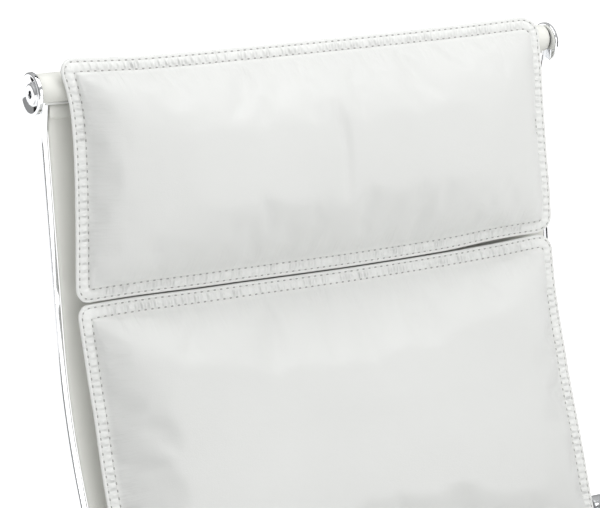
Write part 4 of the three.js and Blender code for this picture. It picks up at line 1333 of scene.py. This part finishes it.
def seat_bar(name, node, run):
    """A spreader under the seat, dropped in the middle on to the tilt plate, with its four cap screws."""
    spot = on_profile(0, run, 0)
    lean = lean_at(run)
    low, high = PLATE_TOP, float(spot[2]) - 0.005 * math.sin(lean) - 0.011
    foot, reach = 0.072, SPREADER_HALF - 0.020
    centres = []
    for t in SPREADER_SPREAD:
        k = min(1, max(0, (abs(t) * SPREADER_HALF - foot) / (reach - foot)))
        centres.append((t * SPREADER_HALF, spot[1], low + (high - low) * k * k * (3 - 2 * k) + 0.0055))
    barred(name, node, centres, oval(0.015, 0.0055, 5, 48), Vector((0, 1, 0)), Vector((0, 0, 1)))
    for side in (-1, 1):
        for k, x in enumerate((0.030, 0.058)):
            place = Matrix.Translation((side * x, spot[1], low + 0.0108))
            head = moved(screw_head(5.0, 4.6, 2.0), place)
            title = f"{name}_screw_{'left' if side > 0 else 'right'}_{k + 1}"
            piece(title, *head, "seat_frame", "steel", smooth_angle=40)


back_bar()
seat_bar("seat_bar_front", "seat_spreader_front", 0.945)
seat_bar("seat_bar_rear", "seat_spreader_rear", 0.835)

# ---- tilt mechanism -------------------------------------------------------------------------

KNOB_PROFILE = [(0, 394), (17, 394), (21.5, 395.2), (25, 398), (26, 401), (26, 413.5), (24.6, 416.4),
                (22.5, 418), (9.5, 418), (8.6, 417.2), (5.6, 417.2), (5.6, 399.2), (0, 399.2)]
LEVER_Z = 510.5


def mechanism():
    """Tilt plate, housing, pivot, tension bolt and knob, and the height lever."""
    refined("seat_plate", "tilt_plate", "seat_frame", "black_metal", 0.0009)
    refined("mechanism_housing", "tilt_housing", "cylinder", "black_metal", 0.0009)
    across = Matrix.Translation(AXLE) @ X_OUT[1]
    half = [(6, 52.1), (5.3, 52.1), (5.3, 52.9), (6, 52.9), (6, 54.2), (5.2, 55), (0, 55)]
    pivot = [(r, -x) for r, x in reversed(half)] + half
    turned_piece("tilt_pivot", pivot, BODY["tilt_axle"], "steel", ["tilt_axle"], across, rounding=0.2)
    place = Matrix.Translation((0, BOLT.y, 0))
    shank = [(0, 399.3), (4.2, 399.3), (5, 400.3), (5, 551.6), (0, 551.6)]
    head = moved(screw_head(9.0, 6.0, 3.6), Matrix.Translation((0, BOLT.y, 0.5515)))
    turned_piece("tension_stud", shank, "tension_rod", "steel", ["tension_bolt"], place, rounding=0.3)
    piece("tension_stud_head", *head, "tension_rod", "steel", smooth_angle=40)
    knob = moved(fluted(KNOB_PROFILE, 18, 2.0), place)
    piece("tension_hand_knob", *knob, "tension_knob", "black_plastic", ["tension_knob"], smooth_angle=45)
    along = Matrix.Translation((0, 0, LEVER_Z * MM)) @ X_OUT[1]
    turned_piece("lever_rod", [(0, -215.5), (3.2, -215.5), (4, -214.6), (4, 7), (3.2, 8), (0, 8)],
                 BODY["height_lever"], "chrome", ["height_lever"], along, rounding=0.4)
    grip = [(0, -272), (4.5, -271.6), (7.4, -269.4), (9, -265), (8.7, -256), (7.8, -244), (7.7, -228),
            (8.2, -214), (8.4, -206), (7.6, -199), (6.2, -196.4), (4.4, -196), (4.4, -215.8), (0, -215.8)]
    flat = Matrix.Translation((0, 0, LEVER_Z * MM)) @ Matrix.Diagonal((1, 1.6, 0.85, 1)) @ X_OUT[1]
    turned_piece("lever_paddle", grip, BODY["height_lever_grip"], "black_plastic", ["height_lever_grip"],
                 flat, rounding=1.6)


mechanism()

# ---- gas column -----------------------------------------------------------------------------

COLUMN_PARTS = {
    "column_sleeve": ("column_tube", "chrome", [
        (6, 64), (22.6, 64), (23.4, 65), (25, 130), (25, 434.4), (24.4, 436), (23, 436), (23, 140),
        (21.6, 68), (6, 68)]),
    "column_bush": ("guide_bush", "black_plastic", [
        (14.5, 352), (22.7, 352), (22.7, 436.3), (25, 436.3), (25, 438.8), (23.4, 440), (15.6, 440),
        (14.5, 439)]),
    "gas_cylinder": ("pressure_tube", "black_metal", [
        (5.5, 100), (14, 100), (14, 452), (12.9, 500), (4, 500), (4, 478), (11, 478), (11, 112), (5.5, 112)]),
    "gas_rod": ("piston_rod", "steel", [
        (0, 56), (4.2, 56), (5, 57), (5, 76), (8, 76), (8, 82), (5, 82), (5, 358), (10.5, 358), (10.5, 374),
        (0, 374)]),
    "gas_release_pin": ("release_pin", "steel", [(0, 484), (3.4, 484), (3.4, 505.2), (2.6, 506.2),
                                                 (0, 506.2)]),
}
for title, (node, slot, profile) in COLUMN_PARTS.items():
    turned_piece(title, profile, BODY[node], slot, [node], segments=96, rounding=0.5)

# ---- foot ring ------------------------------------------------------------------------------

RING_RADIUS = 225
RING_TUBE = 10.5
RING_HEIGHT = middle("foot_ring_sleeve").z
CLAMP = Matrix.Translation((0, 0, RING_HEIGHT)) @ Matrix.Rotation(math.radians(225), 4, "Z") @ X_OUT[1]


def foot_ring():
    """Hoop, spokes, collar, lining and clamp knob, about the column."""
    level = Matrix.Translation((0, 0, RING_HEIGHT))
    hoop = circle(RING_RADIUS, 0, RING_TUBE, 28)
    turned_piece("foot_hoop", hoop, "foot_ring", "chrome", ["foot_ring"], level, 160, 0.01)
    spoke = [(10.5, 31.5), (8.9, 34), (7.9, 37.5), (7.5, 42), (7.5, 206), (7.9, 210), (8.8, 214),
             (9.9, 217.2), (0, 217.2), (0, 31.5)]
    for k in range(4):
        place = level @ Matrix.Rotation(k * math.pi / 2, 4, "Z") @ X_OUT[1]
        turned_piece(f"foot_spoke_{k + 1}", spoke, "foot_ring", "chrome", (), place, 32, 0.3)
    collar = [(28.2, -26), (33.6, -26), (35, -24.4), (35, 24.4), (33.6, 26), (28.2, 26)]
    turned_piece("foot_collar", collar, "foot_ring", "chrome", (), level, 96, 0.8)
    boss = [(4.6, 33), (10.4, 33), (9.3, 35.4), (9, 38), (9, 42), (8.2, 43), (4.6, 43)]
    turned_piece("foot_clamp_boss", boss, "foot_ring", "chrome", (), CLAMP, 40, 0.4)
    lining = [(25.5, -28), (27.9, -28), (27.9, 28), (25.5, 28)]
    turned_piece("foot_collar_lining", lining, "foot_ring", "black_plastic", ["foot_ring_sleeve"], level,
                 96, 0.5)
    knob = [(0, 26), (3.2, 26), (4, 27), (4, 46), (9, 46), (12, 48.2), (17.4, 50.6), (19, 53), (19, 59.4),
            (17.8, 62), (15, 63.4), (11, 64), (0, 64)]
    part = moved(fluted(knob, 7, 2.6, 126), CLAMP)
    body = BODY["foot_ring_knob"]
    piece("foot_clamp_knob", *part, body, "black_plastic", ["foot_ring_knob"], smooth_angle=45)


foot_ring()

# ---- star base ------------------------------------------------------------------------------

LEG_REACH = 331
LEGS = [math.radians(-90 + 72 * k) for k in range(5)]
LEG_SIDES = 40
CAST_VOXEL = 0.0017
# Distance from the middle, underside and top of a leg, in mm.
LEG_HEIGHTS = [(28, 90, 128), (90, 94, 122), (210, 79, 105), (320, 71.9, 94.1)]


def leg_shell():
    """One cast leg along +X: wide below, narrower above, tapering to the caster socket."""
    table = np.array(LEG_HEIGHTS, float)
    xs = np.linspace(28, 319.5, 30)
    verts = []
    for x in xs:
        low, high = np.interp(x, table[:, 0], table[:, 1]), np.interp(x, table[:, 0], table[:, 2])
        wide = 25 - 10 * (x - 24) / 307
        for a, b in oval(1.0, 1.0, 5.5, LEG_SIDES):
            across, up = a * wide * (0.81 - 0.19 * b), (low + high) / 2 + b * (high - low) / 2
            verts.append((x * MM, across * MM, up * MM))
    return verts, tube_faces(len(xs), LEG_SIDES)


def star_base():
    """Hub, legs and sockets run together as one casting, with the seal round the column."""
    hub = [(25.4, 60), (31, 60), (35, 62.5), (38, 70), (38, 126), (36.6, 131), (33, 134), (25.4, 134)]
    tip = [(5.9, 62.6), (15.8, 62.6), (17, 64), (17, 91.6), (15.2, 94), (0, 94), (0, 89.6), (5.9, 89.6)]
    shells = [lathe(mm(hub), 96, 1.2 * MM)]
    for a in LEGS:
        turn = Matrix.Rotation(a, 4, "Z")
        shells.append(moved(leg_shell(), turn))
        socket = lathe(mm(tip), 40, 0.8 * MM)
        shells.append(moved(socket, turn @ Matrix.Translation((LEG_REACH * MM, 0, 0))))
    whole = join_lists(shells)
    obj = piece("base_casting", *whole, "base", "polished_aluminium", ["base_star"], smooth_angle=75)
    cast = obj.modifiers.new("cast", "REMESH")
    cast.mode = "VOXEL"
    cast.voxel_size = CAST_VOXEL
    soften = obj.modifiers.new("soften", "SMOOTH")
    soften.factor = 0.5
    soften.iterations = 7
    freeze(obj)
    sharpen(obj.data, 70)
    rim = [(25.5, 134), (31.5, 134), (32.2, 134.8), (31.6, 136.4), (26.4, 137.4), (25.5, 136.6)]
    turned_piece("column_seal", rim, "base", "black_plastic", segments=96, rounding=0.5)


star_base()

# ---- casters --------------------------------------------------------------------------------

WHEEL_Z = 24.62
CASTER_TRAIL = 20
COVER_MIDDLE = 25
HUB_PROFILE = [
    (0, 22), (9, 22), (10.6, 21.2), (12, 19.6), (19, 19.2), (20.4, 20.6), (20.4, 5.2), (3.5, 5.2),
    (3.5, 19.5), (0, 19.5),
]
TREAD_PROFILE = [
    (20.5, 5), (23.4, 5), (24.4, 6.2), (24.6, 9), (24.6, 15), (24.3, 18.4), (23, 20.4), (21.4, 21),
    (20.5, 20),
]
STEM_PROFILE = [
    (0, 50), (5, 50), (5.5, 50.6), (5.5, 60.6), (8, 60.6), (8, 62.2), (5.5, 62.2), (5.5, 80), (5.1, 80.6),
    (5.1, 82), (5.5, 82.6), (5.5, 85.4), (4.4, 86.6), (0, 86.6),
]


def caster_cover():
    """Cover, web, boss and axle of one caster, its stem on Z and its wheels outward along +X."""
    hood, half, web = 29, 23, 4.4

    def arc(radius, start, end, steps):
        angles = [math.radians(start + (end - start) * k / steps) for k in range(steps + 1)]
        points = [(radius * math.cos(a), radius * math.sin(a)) for a in angles]
        return mm([(CASTER_TRAIL + x, COVER_MIDDLE + z) for x, z in points])

    def upright(outline, y):
        verts, faces = extruded(outline, 2 * y * MM)
        return [(a, y * MM - c, b) for a, b, c in verts], faces

    cover = upright(arc(hood, -8, 188, 48) + arc(hood - 2.4, 188, -8, 48), half)
    fin = upright(arc(hood - 1, 0, 180, 36) + arc(17, 200, 340, 16), web)
    boss = lathe(mm([(5.9, 49), (9.5, 49), (9.5, 59.2), (8.4, 60.3), (5.9, 60.3)]), 40, 0.4 * MM)
    spot = Matrix.Translation((CASTER_TRAIL * MM, 0, COVER_MIDDLE * MM))
    across = spot @ Matrix.Rotation(math.pi / 2, 4, "X")
    axle = moved(lathe(mm([(0, -19), (3, -19), (3, 19), (0, 19)]), 24, 0.2 * MM), across)
    return cover, fin, boss, axle


def casters():
    cover, fin, boss, axle = caster_cover()
    for number, a in enumerate(LEGS, 1):
        name = f"caster_{number}"
        place = Matrix.Rotation(a, 4, "Z") @ Matrix.Translation((LEG_REACH * MM, 0, 0))
        piece(f"{name}_cover", *moved(cover, place), name, "black_plastic", [f"{name}_hood"], bevel=0.0009)
        piece(f"{name}_web", *moved(join_lists([fin, boss]), place), name, "black_plastic", bevel=0.0006)
        piece(f"{name}_axle", *moved(axle, place), name, "steel")
        stem = f"{name}_stem"
        turned_piece(f"{name}_pintle", STEM_PROFILE, BODY[stem], "steel", [stem], place, 32, 0.3)
        for side, sign in SIDES:
            body = f"{name}_wheel_{side}"
            turn = Matrix.Rotation(-sign * math.pi / 2, 4, "X")
            wheel = place @ Matrix.Translation((CASTER_TRAIL * MM, 0, WHEEL_Z * MM)) @ turn
            turned_piece(f"{name}_hub_{side}", HUB_PROFILE, body, "black_plastic", [body], wheel, 48, 0.4)
            turned_piece(f"{name}_tread_{side}", TREAD_PROFILE, body, "tyre", (), wheel, 64, 0.6)


casters()

# ---- stage, light and camera ----------------------------------------------------------------


def stage_nodes(name, grey, roughness):
    """A matt, slightly cloudy grey for what stands round the chair."""
    n = Nodes(name)
    tone = n.ramp(n.noise(0.8), [(0.3, (grey,) * 3), (0.7, (1.01 * grey,) * 3)])
    n.set(Base_Color=tone, Roughness=roughness, Specular_IOR_Level=0.2, Emission_Color=(1, 1, 1))
    return n


def make_floor():
    """A pale floor, lit from behind further out as a studio's white sweep is."""
    b = bmesh.new()
    bmesh.ops.create_circle(b, cap_ends=True, segments=96, radius=30)
    mesh = bpy.data.meshes.new("floor")
    b.to_mesh(mesh)
    b.free()
    floor = placed_object("floor", mesh)
    n = stage_nodes("pale_floor", 0.92, 0.8)
    away = n.add("ShaderNodeVectorMath", operation="LENGTH")
    n.link(n.place, away.inputs[0])
    floor.data.materials.append(n.set(Emission_Strength=n.span(away.outputs["Value"], 0.0, 0.78, 0.6, 2.0)))


def aim(obj, place, target):
    obj.location = place
    obj.rotation_euler = (Vector(target) - Vector(place)).to_track_quat("-Z", "Y").to_euler()


def area_light(name, place, target, size, power, colour=(1, 1, 1)):
    data = bpy.data.lights.new(name, "AREA")
    data.shape = "RECTANGLE"
    data.size, data.size_y = size
    data.energy = power
    data.color = colour
    aim(placed_object(name, data), place, target)


def card(name, place, target, width, height, tone=0.012, glow=0.0):
    """A card that only shows in reflections, dark or glowing, for contrast on the polished metal."""
    corners = [(a * width / 2, b * height / 2, 0) for a, b in ((-1, -1), (1, -1), (1, 1), (-1, 1))]
    sheet = new_object(name, corners, [(0, 1, 2, 3)])
    aim(sheet, place, target)
    sheet.data.materials.append(stage_nodes(name + "_cloth", tone, 0.9).set(Emission_Strength=glow))
    sheet.visible_camera = False
    sheet.visible_diffuse = False
    sheet.visible_shadow = False


def make_world():
    """A soft grey surround, brighter overhead."""
    world = bpy.data.worlds.new("studio")
    bpy.context.scene.world = world
    world.use_nodes = True
    tree = world.node_tree
    background = tree.nodes["Background"]
    place = tree.nodes.new("ShaderNodeTexCoord")
    split = tree.nodes.new("ShaderNodeSeparateXYZ")
    ramp = tree.nodes.new("ShaderNodeValToRGB")
    tree.links.new(place.outputs["Generated"], split.inputs["Vector"])
    tree.links.new(split.outputs["Z"], ramp.inputs["Fac"])
    tree.links.new(ramp.outputs["Color"], background.inputs["Color"])
    stops = [(0.0, 0.54), (0.3, 0.62), (0.6, 0.90), (1.0, 1.15)]
    for k, (position, value) in enumerate(stops):
        element = ramp.color_ramp.elements[k] if k < 2 else ramp.color_ramp.elements.new(position)
        element.position = position
        element.color = (value * 0.99, value * 0.997, value, 1)
    background.inputs["Strength"].default_value = 0.56


def make_light():
    make_world()
    area_light("key", (1.35, -2.2, 2.0), (0, 0.25, 1.2), (1.3, 1.5), 11, (1.0, 0.997, 0.99))
    area_light("top", (0.2, -0.3, 3.1), (0, 0.1, 0.8), (2.0, 2.0), 33)
    cap = (-0.25, 0.36, 1.28)
    card("flag_rear", (1.28, 2.84, 2.05), cap, 1.3, 0.5)
    card("flag_top", (0.61, 0.90, 3.0), cap, 0.8, 0.45)
    card("flag_side", (-3.54, -0.62, 1.5), cap, 0.8, 2.4, tone=0.30)
    card("glow_front", (1.05, -2.45, 1.55), (-0.25, 0.33, 1.15), 1.1, 2.3, tone=0.5, glow=1.0)
    for k, degrees in enumerate((20, 100, 250, 320)):
        a = math.radians(degrees)
        card(f"flag_{k + 1}", (3.6 * math.cos(a), 3.6 * math.sin(a), 0.8), (0, 0, 0.5), 0.8, 1.6)
    view = bpy.context.scene.view_settings
    view.view_transform = "Standard"
    view.look = "None"
    view.exposure = 0.0


# The camera's place from the top roll, and where it looks, solved from the photo's perspective.
CAMERA_FROM_ROLL = Vector((-1.040, -1.665, 0.326))
CAMERA_YAW = 0.556
CAMERA_PITCH = -0.244
CAMERA_LENS = 141.4


def make_camera():
    data = bpy.data.cameras.new("camera")
    data.lens = CAMERA_LENS
    data.sensor_width = 36
    data.clip_end = 100
    camera = placed_object("camera", data)
    camera.location = TOP_ROLL + CAMERA_FROM_ROLL
    flat = math.cos(CAMERA_PITCH)
    ahead = Vector((math.sin(CAMERA_YAW) * flat, math.cos(CAMERA_YAW) * flat, math.sin(CAMERA_PITCH)))
    camera.rotation_euler = ahead.to_track_quat("-Z", "Y").to_euler()
    bpy.context.scene.camera = camera


# ---- carried-over nodes ---------------------------------------------------------------------

for entry in frame["record"]["subparts"]:
    node = frame["nodes"][entry["node"]]
    if not node.hide_render:
        node.data.materials.clear()
        node.data.materials.append(MATERIALS[entry["material_slot"]])

make_floor()
make_light()
make_camera()
